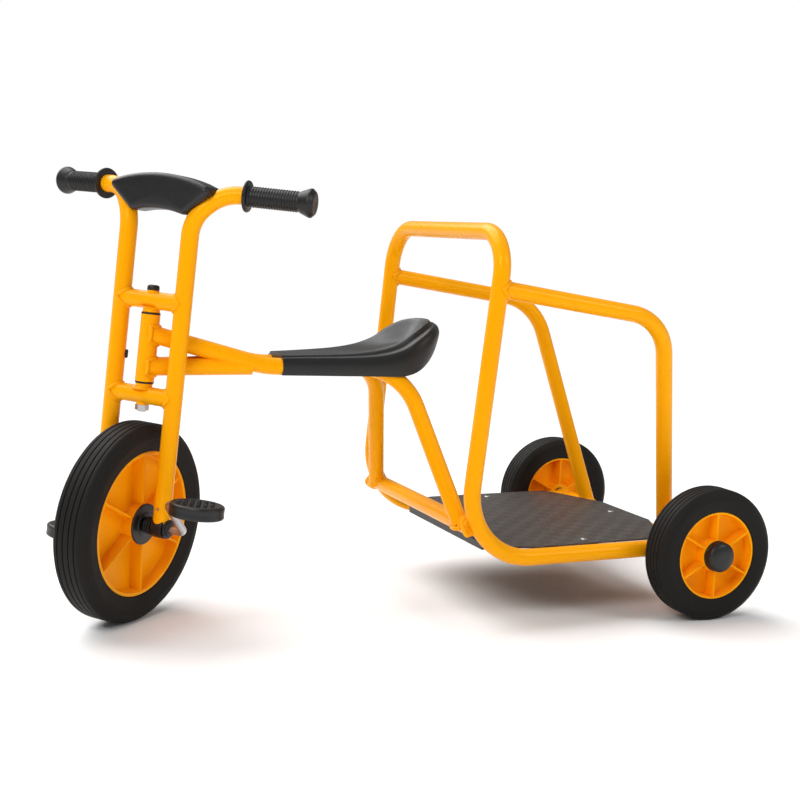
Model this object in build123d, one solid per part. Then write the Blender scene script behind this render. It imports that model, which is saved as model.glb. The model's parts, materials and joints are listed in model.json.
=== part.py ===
from build123d import *
from math import cos, radians, sin, sqrt, tan
import os

os.makedirs("parts", exist_ok=True)

# Child's tricycle with a standing platform for a passenger behind the rider.
# +X is forward, +Y the rider's left, +Z up. The floor is z = 0 and the origin
# is the middle of the footprint, with the fork turned against its left stop.

# ---- Overall layout ----
wheelbase = 866.0
rear_track = 488.0
rear_axle_x = -445.0
steer_tilt = 5.0
steer_rest = 41.7

# ---- Frame tube ----
tube_od = 26.0
tube_wall = 1.8
tube_r = tube_od / 2
tube_bore_r = tube_r - tube_wall

# ---- Front wheel ----
front_wheel_r = 150.0
front_tyre_width = 59.0
front_seat_r = 109.5
front_face_half = 23.4
front_tread_half = 19.0
front_hub_r = 30.0
front_lip = 6.0

# ---- Rear wheels ----
rear_wheel_r = 105.0
rear_tyre_width = 56.0
rear_seat_r = 69.5
rear_face_half = 24.0
rear_tread_half = 18.0
rear_hub_r = 26.0
rear_hub_inner_r = 20.0
rear_lip = 4.0

# ---- Shared wheel shape ----
rib_count = 6
rib_thick = 3.6
rib_set_back = 1.0
front_rib_phase = -6.5
web_half = 2.5
tyre_corner_r = 9.0
bead_bulge = 1.2
groove_count = 4
groove_width = 2.4
groove_depth = 2.0

# ---- Fits ----
run_clearance = 0.05
end_play = 0.4
board_clearance = 0.3

# ---- Steering head ----
head_start = 211.0
head_length = 99.0
head_od = 28.0
head_wall = 2.5
head_gap = 7.5
collar_sink = 6.0
collar_wide_r = 13.5
collar_narrow_r = 11.5
bush_flange = 2.5
bush_length = 16.0
steer_bolt_r = 6.0
saddle_thick = 1.6
saddle_skirt = 4.0
bolt_past_nut = 2.0
bolt_head_r = 7.0
bolt_head_height = 4.5
bolt_cap_r = 9.0
bolt_cap_height = 8.0
bolt_nut_across = 18.0
bolt_nut_height = 8.0

# ---- Fork and handlebar, in the fork's own straight-ahead frame ----
leg_spacing = 108.6
bar_height = 495.3
bar_bend_rise = 39.3
bar_bend_reach = 36.0
bar_bend_back = 21.9
bar_bend_r = 60.0
grip_start_y = 122.8
grip_sweep = 13.6
grip_length = 104.0
grip_r = 15.3
grip_flange_r = 23.3
grip_flange = 5.0
grip_flare_r = 21.0
grip_flare_length = 20.0
grip_end_wall = 4.0
grip_rib_pitch = 4.0
grip_rib_depth = 1.0
grip_end_round = 1.6
grip_flare_flat = 4.0
grip_nose = 6.0
grip_nose_r = 16.0

# ---- Handlebar pad ----
pad_half = 93.0
pad_tip_height = 498.0
pad_crown_height = 516.0
pad_foot_half = 46.0
pad_foot_height = 458.0
pad_arch_height = 464.0
pad_front = 15.0
pad_depth = 42.0
pad_round = 7.0
bridge_r = 7.0
bridge_height = 481.0
bridge_back = 12.0
pad_screw_r = 2.5
pad_screw_y = 28.0
pad_screw_head = 2.0
pad_screw_bite = 1.5

# ---- Lock stops ----
bumper_height = 246.0
bumper_r = 6.5
bumper_reach = 16.6
bumper_angle = 36.0
bumper_round = 2.0

# ---- Front axle, blocks, cranks and pedals ----
axle_r = 6.0
flange_r = 31.0
flange_thick = 3.6
block_r = 15.0
block_end = 72.0
block_rib_count = 6
block_rib_depth = 2.0
spigot_top = 38.0
pin_height = 29.0
pin_r = 2.5
pin_proud = 0.5
crank_y = 95.0
crank_throw = 70.0
crank_angle = 44.0
crank_bend_r = 9.0
pedal_gap = 3.5
pedal_length = 81.0
pedal_width = 72.0
pedal_height = 22.0
pedal_round = 3.0
pedal_nut_across = 15.0
pedal_nut_height = 7.0
pedal_recess_r = 10.5
pedal_cap_thick = 2.0
spindle_short = 0.5

# ---- Rear axle ----
rear_axle_r = 6.0
axle_tube_od = 25.0
wheel_bush_r = 9.0
wheel_bush_flange = 2.0
wheel_bush_flange_r = 13.0
wheel_bush_apart = 4.0
washer_r = 12.0
washer_thick = 2.0
axle_nut_across = 18.0
axle_nut_height = 8.0
axle_past_nut = 2.0
hub_cap_r = 24.5
hub_cap_dome = 6.5
hub_cap_wall = 2.5
hub_cap_flat_r = 13.0
hub_cap_shoulder_r = 17.6
hub_cap_shoulder_rise = 4.8
hub_cap_room = 1.0

# ---- Carrier hoop: one bent tube with its two bottom rails ----
hoop_corner_x = 409.0
rail_y = 195.5
hoop_top_x = 364.0
hoop_top_y = 206.0
hoop_top_z = 597.5
hoop_bottom_bend_r = 105.0
hoop_top_bend_r = 65.0
rail_end_x = 0.0

# ---- Front crossbar of the platform ----
crossbar_x = 396.0
crossbar_z = 156.5

# ---- Handrails ----
handrail_share = 0.8328
handrail_rear_x = 83.0
handrail_rear_y = 206.0
handrail_rear_z = 471.8
handrail_foot_x = -2.8
handrail_foot_y = 120.6
handrail_bend_r = 85.0

# ---- Main rails and lower struts ----
rail_head_height = 282.0
rail_head_y = 6.0
rail_knee_x = 670.0
rail_knee_y = 22.0
rail_level_z = 383.5
rail_back_x = 457.5
rail_back_y = 52.0
rail_foot_x = 402.1
rail_foot_y = 167.3
knee_bend_r = 170.0
back_bend_r = 88.0
strut_head_height = 232.5
strut_end_x = 690.0

# ---- Seat ----
seat_front_x = 646.0
seat_back_x = 382.0
seat_front_half = 39.0
seat_back_half = 79.0
seat_skirt_z = 371.0
seat_front_z = 403.0
seat_dip_x = 492.0
seat_dip_z = 414.0
seat_peak_x = 412.0
seat_peak_z = 454.0
seat_wall = 6.0
seat_corner_x = 399.0
seat_corner_share = 0.72
seat_crown_x = 393.0
seat_crown_rise = 1.0
seat_back_drop = 14.0
seat_skirt_x = 430.0
seat_bracket_front_x = 620.0
seat_bracket_back_x = 545.0
seat_bracket_width = 24.0
seat_bracket_thick = 3.0
seat_bracket_z = 389.0
seat_boss_r = 7.5
seat_screw_r = 2.8
seat_screw_head_r = 5.5
seat_screw_length = 14.0
seat_screw_head = 3.0

# ---- Platform ----
board_thick = 3.0
board_drop = 0.4
board_front_x = 348.0
board_rear_x = -3.0
board_narrow_x = 268.0
board_narrow_half = 168.0
board_cut_y = 75.0
board_cut_x = 50.0
board_corner_r = 15.0
board_narrow_run = 40.0
bearer_thick = 5.0
bearer_width = 22.0
middle_bearer_x = 182.0
front_bearer_x = 338.0
front_bearer_half = 140.0
front_bearer_height = 11.0
rear_tab_x = 26.0
rear_tab_length = 34.0
rear_tab_width = 40.0
board_screw_r = 2.5
board_screw_head_r = 5.5
board_screw_head = 2.6
board_screw_length = 12.0
side_screw_y = 168.0
front_screw_y = 110.0

# ---- Worked-out values ----
lean = sin(radians(steer_tilt)) * sin(radians(steer_rest))
hub_x = rear_axle_x + wheelbase
hub_z = front_wheel_r * sqrt(1 - lean ** 2) + front_tread_half * lean
axle_z = rear_wheel_r
leg_y = leg_spacing / 2
wheel_y = rear_track / 2
rail_top_z = axle_z + tube_r
board_bottom_z = rail_top_z - board_drop
board_top_z = board_bottom_z + board_thick
board_half = rail_y - sqrt(tube_r ** 2 - (tube_r - board_drop) ** 2) - board_clearance
head_r = head_od / 2
lower_bar_height = head_start - head_gap - tube_r
upper_bar_height = head_start + head_length + head_gap + tube_r
inner_half = front_face_half + flange_thick + end_play
crank_x = crank_throw * cos(radians(crank_angle))
crank_z = crank_throw * sin(radians(crank_angle))

axis_frame = Pos(hub_x, 0, hub_z) * Rot(0, -steer_tilt, 0)
fork_frame = axis_frame * Rot(0, 0, steer_rest)


def rear(x, y, z):
    """A point measured from the rear axle line."""
    return Vector(rear_axle_x + x, y, z)


def bent_path(points, bends):
    """Straight runs joined by round bends, one bend radius for each inner point."""
    points = [Vector(*p) if isinstance(p, tuple) else p for p in points]
    runs = []
    start = points[0]
    for i, bend in enumerate(bends, 1):
        corner = points[i]
        back = (points[i - 1] - corner).normalized()
        ahead = (points[i + 1] - corner).normalized()
        half = radians(back.get_angle(ahead)) / 2
        reach = bend / tan(half)
        first = corner + back * reach
        last = corner + ahead * reach
        middle = corner + (back + ahead).normalized() * (bend / sin(half) - bend)
        runs.append(Line(start, first))
        runs.append(ThreePointArc(first, middle, last))
        start = last
    runs.append(Line(start, points[-1]))
    return Wire([edge for run in runs for edge in run.edges()])


def rod(path, radius):
    """A solid round bar along a path."""
    section = Plane(origin=path @ 0, z_dir=path % 0) * Circle(radius)
    return sweep(section, path=path)


def bar(start, end, radius):
    """A solid straight round bar between two points."""
    direction = Vector(*end) - Vector(*start) if isinstance(end, tuple) else end - start
    origin = Vector(*start) if isinstance(start, tuple) else start
    return extrude(Plane(origin=origin, z_dir=direction) * Circle(radius), direction.length)


def tube(path, outer=tube_r, inner=tube_bore_r):
    """A hollow round tube along a path."""
    return rod(path, outer) - rod(path, inner)


def along_y(radius, y_from, y_to, x=0.0, z=0.0):
    """A round bar that lies across the tricycle."""
    return bar((x, y_from, z), (x, y_to, z), radius)


def upright(radius, z_from, z_to, x=0.0, y=0.0):
    """A round bar that stands upright."""
    return Pos(x, y, (z_from + z_to) / 2) * Cylinder(radius, z_to - z_from)


def across_flats(width, height):
    """A hexagon prism standing on z = 0."""
    return extrude(RegularPolygon(width / sqrt(3), 6), height)


def mirrored(shape):
    """The same shape on the other side of the centre plane."""
    return mirror(shape, Plane.XZ)


def opposite(shape):
    """The same shape on the other crank, half a turn round the axle."""
    return Rot(0, 180, 0) * mirrored(shape)


# ---- Wheels, built about the Y axis ----
def wheel_rim(seat_r, face_half, hub_radii, lip, bore_r, phase=0.0):
    """Moulded rim: hub, thin flat web with ribs on both sides, and outer lip."""
    lip_r = seat_r - lip
    outline = [(bore_r, -face_half), (bore_r, face_half)]
    for side, hub_r in zip((1, -1), hub_radii):
        across = [
            (hub_r, side * face_half),
            (hub_r, side * web_half),
            (lip_r, side * web_half),
            (lip_r, side * face_half),
            (seat_r, side * face_half),
        ]
        outline += across if side > 0 else across[::-1]
    body = revolve(make_face(Polyline(outline, close=True)), Axis.Y)
    inner_hub_r = min(hub_radii)
    rib_length = lip_r - inner_hub_r + lip
    rib_middle = (lip_r + inner_hub_r) / 2
    rib = Pos(rib_middle, 0, 0) * Box(rib_length, 2 * (face_half - rib_set_back), rib_thick)
    for i in range(rib_count):
        body += Rot(0, 90 + phase + 360 * i / rib_count, 0) * rib
    return body


def wheel_tyre(outer_r, width, seat_r, face_half, tread_half):
    """Solid rubber tyre with rounded shoulders and grooves round the tread."""
    half = width / 2
    side = [
        (seat_r, face_half),
        (seat_r + bead_bulge, face_half + bead_bulge),
        ((seat_r + outer_r) / 2, half),
        (outer_r - tyre_corner_r, half),
        (outer_r, tread_half),
    ]
    outline = side + [(r, -y) for r, y in reversed(side)]
    face = make_face(Polyline(outline, close=True))
    shoulders = [v for v in face.vertices() if v.X > outer_r - tyre_corner_r - 1]
    face = fillet(shoulders, tyre_corner_r / 2)
    body = revolve(face, Axis.Y)
    spacing = 2 * tread_half / groove_count
    for i in range(groove_count):
        y = -tread_half + spacing * (i + 0.5)
        slot = Pos(outer_r, y) * Rectangle(2 * groove_depth, groove_width)
        body -= revolve(slot, Axis.Y)
    return body


def front_rim():
    hub_radii = (front_hub_r, front_hub_r)
    return wheel_rim(front_seat_r, front_face_half, hub_radii, front_lip, axle_r, front_rib_phase)


def front_tyre():
    return wheel_tyre(front_wheel_r, front_tyre_width, front_seat_r, front_face_half,
                      front_tread_half)


def hub_flange():
    """Black disc that closes the hub, left side."""
    y_to = front_face_half + flange_thick
    return along_y(flange_r, front_face_half, y_to) - along_y(axle_r, 0, y_to + 1)


def crank_axle():
    """One bent steel bar: pedal spindle, crank, axle, crank, pedal spindle."""
    spindle_end = crank_y + axle_r + pedal_gap + pedal_length - pedal_cap_thick - spindle_short
    points = [
        (-crank_x, -spindle_end, -crank_z),
        (-crank_x, -crank_y, -crank_z),
        (0.0, -crank_y, 0.0),
        (0.0, crank_y, 0.0),
        (crank_x, crank_y, crank_z),
        (crank_x, spindle_end, crank_z),
    ]
    return rod(bent_path(points, [crank_bend_r] * 4), axle_r)


def pedal_span():
    """Where the left pedal starts, where its recess floor is, and where it ends."""
    start = crank_y + axle_r + pedal_gap
    end = start + pedal_length
    floor = end - pedal_cap_thick - spindle_short - pedal_nut_height - end_play
    return start, floor, end


def pedal():
    """Oval block that turns on the left spindle."""
    start, floor, end = pedal_span()
    plan = Ellipse(pedal_width / 2, pedal_length / 2)
    block = extrude(plan, pedal_height / 2, both=True)
    block = fillet(block.edges(), pedal_round)
    block = Pos(crank_x, (start + end) / 2, crank_z) * block
    block -= along_y(axle_r + run_clearance, start - 1, end, crank_x, crank_z)
    block -= along_y(pedal_recess_r, floor, end + 1, crank_x, crank_z)
    return block


def pedal_nut():
    """Nut on the end of the left spindle."""
    seat_y = pedal_span()[1] + end_play
    nut = Pos(crank_x, seat_y, crank_z) * Rot(-90, 0, 0) * across_flats(pedal_nut_across, pedal_nut_height)
    return nut - along_y(axle_r, seat_y - 1, seat_y + pedal_nut_height + 1, crank_x, crank_z)


def pedal_cap():
    """Plug over the nut, pressed in the left pedal's end."""
    start, _, end = pedal_span()
    plug = along_y(pedal_recess_r, end - pedal_cap_thick, end + 1, crank_x, crank_z)
    plan = Ellipse(pedal_width / 2, pedal_length / 2)
    block = Pos(crank_x, (start + end) / 2, crank_z) * extrude(plan, pedal_height / 2, both=True)
    return plug & block


# ---- Fork, built straight ahead with its steering axis on Z ----
def fork_path():
    """Centre line of the left leg and its handlebar arm."""
    side = radians(grip_sweep)
    first = Vector(0, leg_y, bar_height - bar_bend_rise)
    second = Vector(-bar_bend_back, leg_y + bar_bend_reach, bar_height)
    along = Vector(-sin(side), cos(side), 0)
    reach = (grip_start_y - second.Y) / cos(side) + grip_length - grip_end_wall
    bottom = Vector(0, leg_y, block_r / 2)
    return bent_path([bottom, first, second, second + along * reach], [bar_bend_r] * 2)


def fork_tube(path):
    leg = tube(path)
    leg -= along_y(block_r, 0, leg_spacing)
    leg -= bar((-tube_r - 1, leg_y, pin_height), (tube_r + 1, leg_y, pin_height), pin_r)
    return leg


def fork_crossbar(height, side):
    """Bar between the legs with its collar; side is 1 when the head is above."""
    piece = along_y(tube_r, -leg_y, leg_y, z=height)
    piece -= along_y(tube_bore_r, -leg_y, leg_y, z=height)
    for y in (-leg_y, leg_y):
        piece -= upright(tube_r, height - tube_od, height + tube_od, y=y)
    piece += head_collar(height, side)
    return piece - upright(steer_bolt_r, height - tube_od, height + tube_od)


def head_collar(height, side):
    """Short cone between a crossbar and the head; side is 1 when the head is above."""
    tip = height + side * (tube_r + head_gap - bush_flange - end_play)
    root = height + side * (tube_r - collar_sink)
    low, high = min(tip, root), max(tip, root)
    base, top = (collar_narrow_r, collar_wide_r) if side > 0 else (collar_wide_r, collar_narrow_r)
    cone = Pos(0, 0, (low + high) / 2) * Cone(base, top, high - low)
    cone -= along_y(tube_r, -leg_y, leg_y, z=height)
    return cone - upright(steer_bolt_r, low - 1, high + 1)


def saddle(height, side):
    """Washer shaped to a crossbar; side is 1 above it."""
    far = height + side * (tube_r + saddle_thick)
    near = height + side * (tube_r - saddle_skirt)
    ring = upright(bolt_cap_r, min(far, near), max(far, near))
    ring -= along_y(tube_r, -leg_y, leg_y, z=height)
    return ring - upright(steer_bolt_r, min(far, near) - 1, max(far, near) + 1)


def steering_bolt():
    top = upper_bar_height + tube_r + saddle_thick
    bottom = lower_bar_height - tube_r - saddle_thick - bolt_nut_height - bolt_past_nut
    shank = upright(steer_bolt_r, bottom, top)
    return shank + upright(bolt_head_r, top, top + bolt_head_height)


def steering_nut():
    top = lower_bar_height - tube_r - saddle_thick
    nut = Pos(0, 0, top - bolt_nut_height) * across_flats(bolt_nut_across, bolt_nut_height)
    return nut - upright(steer_bolt_r, top - bolt_nut_height - 1, top + 1)


def steering_cap():
    """Rounded cover over the head of the steering bolt."""
    base = upper_bar_height + tube_r + saddle_thick
    cap = upright(bolt_cap_r, base, base + bolt_cap_height)
    cap = fillet(cap.edges().group_by(Axis.Z)[-1], bolt_cap_height / 2)
    return cap - upright(bolt_head_r, base - 1, base + bolt_head_height)


def handlebar_bridge(left_leg, right_leg):
    """Bar inside the pad, between the two bends."""
    ends = leg_y + bar_bend_reach
    piece = along_y(bridge_r, -ends, ends, -bridge_back, bridge_height)
    piece = piece - left_leg - right_leg
    return max(piece.solids(), key=lambda s: s.volume)


def handlebar_pad(left_leg, right_leg):
    """Padded cover across the handlebar, arched below and crowned above."""
    tip_r = (pad_half, pad_tip_height)
    tip_l = (-pad_half, pad_tip_height)
    foot_r = (pad_foot_half, pad_foot_height)
    foot_l = (-pad_foot_half, pad_foot_height)
    outline = [
        ThreePointArc(tip_l, (0, pad_crown_height), tip_r),
        Line(tip_r, foot_r),
        ThreePointArc(foot_r, (0, pad_arch_height), foot_l),
        Line(foot_l, tip_l),
    ]
    face = make_face(outline)
    across = Plane(origin=(pad_front, 0, 0), x_dir=(0, 1, 0), z_dir=(1, 0, 0))
    block = extrude(across * face, -pad_depth)
    long_edges = block.edges().filter_by(GeomType.CIRCLE)
    block = fillet(long_edges, pad_round)
    block = block - left_leg - right_leg
    block -= along_y(bridge_r, -pad_half, pad_half, -bridge_back, bridge_height)
    block -= pad_screws()
    return max(block.solids(), key=lambda s: s.volume)


def pad_screws():
    """Two screws from the back of the pad to the bridge."""
    back = pad_front - pad_depth
    screws = []
    for y in (-pad_screw_y, pad_screw_y):
        neck = (back + pad_screw_head, y, bridge_height)
        end = (-bridge_back - bridge_r + pad_screw_bite, y, bridge_height)
        screws.append(bar((back, y, bridge_height), neck, 2 * pad_screw_r) + bar(neck, end, pad_screw_r))
    return Compound(children=screws)


def grip():
    """Ribbed grip on the left arm, built on Z and then laid along the arm."""
    plain = grip_length - grip_flare_length
    profile = [
        (tube_r, 0.0),
        (grip_flange_r, 0.0),
        (grip_flange_r, grip_flange),
        (grip_r, grip_flange),
        (grip_r, plain),
        (grip_flare_r, grip_length - grip_nose - grip_flare_flat),
        (grip_flare_r, grip_length - grip_nose),
        (grip_nose_r, grip_length),
        (0.0, grip_length),
        (0.0, grip_length - grip_end_wall),
        (tube_r, grip_length - grip_end_wall),
    ]
    on_edge = Plane.XZ * make_face(Polyline(profile, close=True))
    body = revolve(on_edge, Axis.Z)
    rims = body.edges().filter_by(GeomType.CIRCLE).filter_by(lambda e: e.radius > grip_r + 1)
    body = fillet(rims, grip_end_round)
    ribs = int((plain - grip_flange) / grip_rib_pitch) - 1
    for i in range(1, ribs + 1):
        z = grip_flange + i * grip_rib_pitch
        ring = Cylinder(grip_r + 1, grip_rib_pitch / 2)
        ring -= Cylinder(grip_r - grip_rib_depth, grip_rib_pitch)
        body -= Pos(0, 0, z) * ring
    side = radians(grip_sweep)
    start_x = -bar_bend_back - (grip_start_y - leg_y - bar_bend_reach) * tan(side)
    lie = Plane(origin=(start_x, grip_start_y, bar_height), z_dir=(-sin(side), cos(side), 0))
    return lie * body


def bumper():
    """Rubber stop on the inner rear side of the left leg."""
    side = radians(bumper_angle)
    tip = (-bumper_reach * sin(side), leg_y - bumper_reach * cos(side), bumper_height)
    stub = bar((0.0, leg_y, bumper_height), tip, bumper_r)
    far_edge = stub.edges().sort_by(lambda e: (e.center() - Vector(0, leg_y, bumper_height)).length)
    stub = fillet(far_edge[-1], bumper_round)
    return stub - upright(tube_r, bumper_height - tube_od, bumper_height + tube_od, y=leg_y)


def axle_block():
    """Ribbed bearing block under the left leg, with a spigot up the tube."""
    body = along_y(block_r, inner_half, block_end)
    spacing = (block_end - inner_half) / block_rib_count
    for i in range(block_rib_count):
        y = inner_half + spacing * (i + 0.5)
        if abs(y - leg_y) > tube_r:
            groove = along_y(block_r + 1, y - spacing / 4, y + spacing / 4)
            groove -= along_y(block_r - block_rib_depth, y - spacing, y + spacing)
            body -= groove
    body += upright(tube_bore_r, 0, spigot_top, y=leg_y)
    body -= bar((-tube_r, leg_y, pin_height), (tube_r, leg_y, pin_height), pin_r)
    return body - along_y(axle_r + run_clearance, 0, block_end + 1)


def axle_block_pins():
    pins = []
    for y in (-leg_y, leg_y):
        half = tube_r + pin_proud
        pins.append(bar((-half, y, pin_height), (half, y, pin_height), pin_r))
    return Compound(children=pins)


# ---- Steering head on the frame, built straight ahead with its axis on Z ----
def head_tube():
    end = head_start + head_length
    return upright(head_r, head_start, end) - upright(head_r - head_wall, head_start, end)


def head_bush(low):
    """Flanged bush; low is True at the bottom end of the head tube."""
    side = 1 if low else -1
    mouth = head_start if low else head_start + head_length
    lip = mouth - side * bush_flange
    inside = mouth + side * bush_length
    body = upright(head_r, min(lip, mouth), max(lip, mouth))
    body += upright(head_r - head_wall, min(mouth, inside), max(mouth, inside))
    bore = steer_bolt_r + run_clearance
    return body - upright(bore, min(lip, inside) - 1, max(lip, inside) + 1)


# ---- Frame, in the tricycle's own frame ----
def on_axis(height, y=0.0):
    """A point beside the steering axis at a height up that axis."""
    place = axis_frame * Pos(0, y, height)
    return place.position


def main_rail_path():
    head = on_axis(rail_head_height, rail_head_y)
    knee = rear(rail_knee_x, rail_knee_y, rail_level_z)
    back = rear(rail_back_x, rail_back_y, rail_level_z)
    foot = rear(rail_foot_x, rail_foot_y, crossbar_z)
    return bent_path([head, knee, back, foot], [knee_bend_r, back_bend_r])


def left_half(shape):
    """Keep what lies to the left of the centre plane."""
    return shape & (Pos(0, wheelbase / 2, wheelbase / 2) * Box(3 * wheelbase, wheelbase, 2 * wheelbase))


def head_outside():
    return axis_frame * upright(head_r, head_start - 20, head_start + head_length + 20)


def crossbar_outside():
    end = rail_y
    return bar(rear(crossbar_x, -end, crossbar_z), rear(crossbar_x, end, crossbar_z), tube_r)


def main_rail():
    """Left rail: head, seat and down to the platform's front crossbar."""
    piece = left_half(tube(main_rail_path())) - head_outside() - crossbar_outside()
    return max(piece.solids(), key=lambda s: s.volume)


def lower_strut():
    """Left strut from the foot of the head tube to the bend of the main rail."""
    head = on_axis(strut_head_height, rail_head_y)
    share = (hub_x - rear_axle_x - strut_end_x) / (hub_x - rear_axle_x - rail_knee_x)
    end_y = rail_head_y + (rail_knee_y - rail_head_y) * share
    path = bent_path([head, rear(strut_end_x, end_y, rail_level_z)], [])
    piece = left_half(tube(path)) - head_outside() - rod(main_rail_path(), tube_r)
    return max(piece.solids(), key=lambda s: s.volume)


def hoop_corners():
    """Left side corners of the hoop: rail end, bottom corner and top corner."""
    end = rear(rail_end_x, rail_y, axle_z)
    corner = rear(hoop_corner_x, rail_y, axle_z)
    top = rear(hoop_top_x, hoop_top_y, hoop_top_z)
    return end, corner, top


def hoop_path():
    end, corner, top = hoop_corners()
    other = [Vector(p.X, -p.Y, p.Z) for p in (top, corner, end)]
    bends = [hoop_bottom_bend_r, hoop_top_bend_r, hoop_top_bend_r, hoop_bottom_bend_r]
    return bent_path([end, corner, top] + other, bends)


def axle_tube_outside():
    return along_y(axle_tube_od / 2, -wheel_y, wheel_y, rear_axle_x, axle_z)


def carrier_hoop():
    return tube(hoop_path()) - axle_tube_outside()


def front_crossbar():
    path = bent_path([rear(crossbar_x, -rail_y, crossbar_z), rear(crossbar_x, rail_y, crossbar_z)], [])
    piece = tube(path) - rod(hoop_path(), tube_r)
    return max(piece.solids(), key=lambda s: s.volume)


def handrail():
    """Left handrail: from the hoop back to its corner and down to the axle tube."""
    _, corner, top = hoop_corners()
    start = corner + (top - corner) * handrail_share
    bend = rear(handrail_rear_x, handrail_rear_y, handrail_rear_z)
    foot = rear(handrail_foot_x, handrail_foot_y, axle_z)
    piece = tube(bent_path([start, bend, foot], [handrail_bend_r]))
    piece = piece - rod(hoop_path(), tube_r) - axle_tube_outside()
    return max(piece.solids(), key=lambda s: s.volume)


def axle_tube_end():
    """Distance from the centre plane to the end face of the rear axle tube."""
    return wheel_y - rear_face_half - wheel_bush_flange - end_play - washer_thick


def rear_axle_tube():
    end = axle_tube_end()
    outer = along_y(axle_tube_od / 2, -end, end, rear_axle_x, axle_z)
    return outer - along_y(rear_axle_r, -end, end, rear_axle_x, axle_z)


def nut_seat():
    """Distance from the centre plane to the seat of the rear axle nut."""
    return wheel_y + rear_face_half + wheel_bush_flange + end_play + washer_thick


def rear_axle():
    end = nut_seat() + axle_nut_height + axle_past_nut
    return along_y(rear_axle_r, -end, end, rear_axle_x, axle_z)


def ring_y(outer_r, inner_r, y_from, y_to):
    """Ring round the rear axle."""
    body = along_y(outer_r, y_from, y_to, rear_axle_x, axle_z)
    return body - along_y(inner_r, y_from - 1, y_to + 1, rear_axle_x, axle_z)


def axle_washers():
    rings = []
    for y in (axle_tube_end(), nut_seat() - washer_thick):
        ring = ring_y(washer_r, rear_axle_r, y, y + washer_thick)
        rings += [ring, mirrored(ring)]
    return Compound(children=rings)


def axle_nuts():
    nuts = []
    turned = Pos(rear_axle_x, nut_seat(), axle_z) * Rot(-90, 0, 0)
    nut = turned * across_flats(axle_nut_across, axle_nut_height)
    nut -= along_y(rear_axle_r, wheel_y, 2 * wheel_y, rear_axle_x, axle_z)
    return Compound(children=[nut, mirrored(nut)])


def rear_place(shape):
    """Put a wheel piece on the left end of the rear axle."""
    return Pos(rear_axle_x, wheel_y, axle_z) * shape


def rear_rim():
    hub_radii = (rear_hub_r, rear_hub_inner_r)
    return rear_place(wheel_rim(rear_seat_r, rear_face_half, hub_radii, rear_lip, wheel_bush_r))


def rear_tyre():
    return rear_place(wheel_tyre(rear_wheel_r, rear_tyre_width, rear_seat_r, rear_face_half,
                                 rear_tread_half))


def rear_bushes():
    """Two flanged bushes pressed in the left rim's hub."""
    bore = rear_axle_r + run_clearance
    pieces = []
    for side in (-1, 1):
        face = wheel_y + side * rear_face_half
        edge = face + side * wheel_bush_flange
        deep = face - side * (rear_face_half - wheel_bush_apart / 2)
        lip = ring_y(wheel_bush_flange_r, bore, min(face, edge), max(face, edge))
        pieces.append(lip + ring_y(wheel_bush_r, bore, min(face, deep), max(face, deep)))
    return Compound(children=pieces)


def hub_cap():
    """Black dome over the left axle nut, pressed on the rim's hub."""
    face = wheel_y + rear_face_half
    inside = nut_seat() + axle_nut_height + axle_past_nut + hub_cap_room
    top = inside + hub_cap_wall
    side_end = top - hub_cap_dome
    inner_r = hub_cap_r - hub_cap_wall
    shoulder = (hub_cap_shoulder_r, side_end + hub_cap_shoulder_rise)
    outline = [
        Line((inner_r, face), (inner_r, side_end)),
        Line((inner_r, side_end), (hub_cap_flat_r, inside)),
        Line((hub_cap_flat_r, inside), (0, inside)),
        Line((0, inside), (0, top)),
        ThreePointArc((0, top), shoulder, (hub_cap_r, side_end)),
        Line((hub_cap_r, side_end), (hub_cap_r, face)),
        Line((hub_cap_r, face), (inner_r, face)),
    ]
    return Pos(rear_axle_x, 0, axle_z) * revolve(make_face(outline), Axis.Y)


# ---- Seat ----
def seat_plan(inset):
    """Seat seen from above: narrow nose, wide rounded back."""
    nose = seat_front_half - inset
    wide = seat_back_half - inset
    front = seat_front_x
    widest = seat_back_x + seat_back_half
    last = seat_back_x + inset
    corner = (seat_corner_x + inset, seat_corner_share * wide)
    outline = [
        Line((front, -nose), (front, nose)),
        Line((front, nose), (widest, wide)),
        ThreePointArc((widest, wide), corner, (last, 0)),
        ThreePointArc((last, 0), (corner[0], -corner[1]), (widest, -wide)),
        Line((widest, -wide), (front, -nose)),
    ]
    return Pos(rear_axle_x, 0) * make_face(outline)


def seat_side():
    """Seat seen from the left: flat nose and raised back, upright on the centre plane."""
    top = Spline(
        [(seat_front_x, seat_front_z), (seat_dip_x, seat_dip_z), (seat_peak_x, seat_peak_z)],
        tangents=[(-1, 0), (-1, 1)],
    )
    crown = (seat_crown_x, seat_peak_z + seat_crown_rise)
    back = (seat_back_x, seat_peak_z - seat_back_drop)
    outline = [
        top,
        ThreePointArc((seat_peak_x, seat_peak_z), crown, back),
        Line(back, (seat_skirt_x, seat_skirt_z)),
        Line((seat_skirt_x, seat_skirt_z), (seat_front_x, seat_skirt_z)),
        Line((seat_front_x, seat_skirt_z), (seat_front_x, seat_front_z)),
    ]
    upright_face = Plane(origin=(rear_axle_x, 0, 0), x_dir=(1, 0, 0), z_dir=(0, -1, 0))
    return upright_face * make_face(outline)


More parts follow.
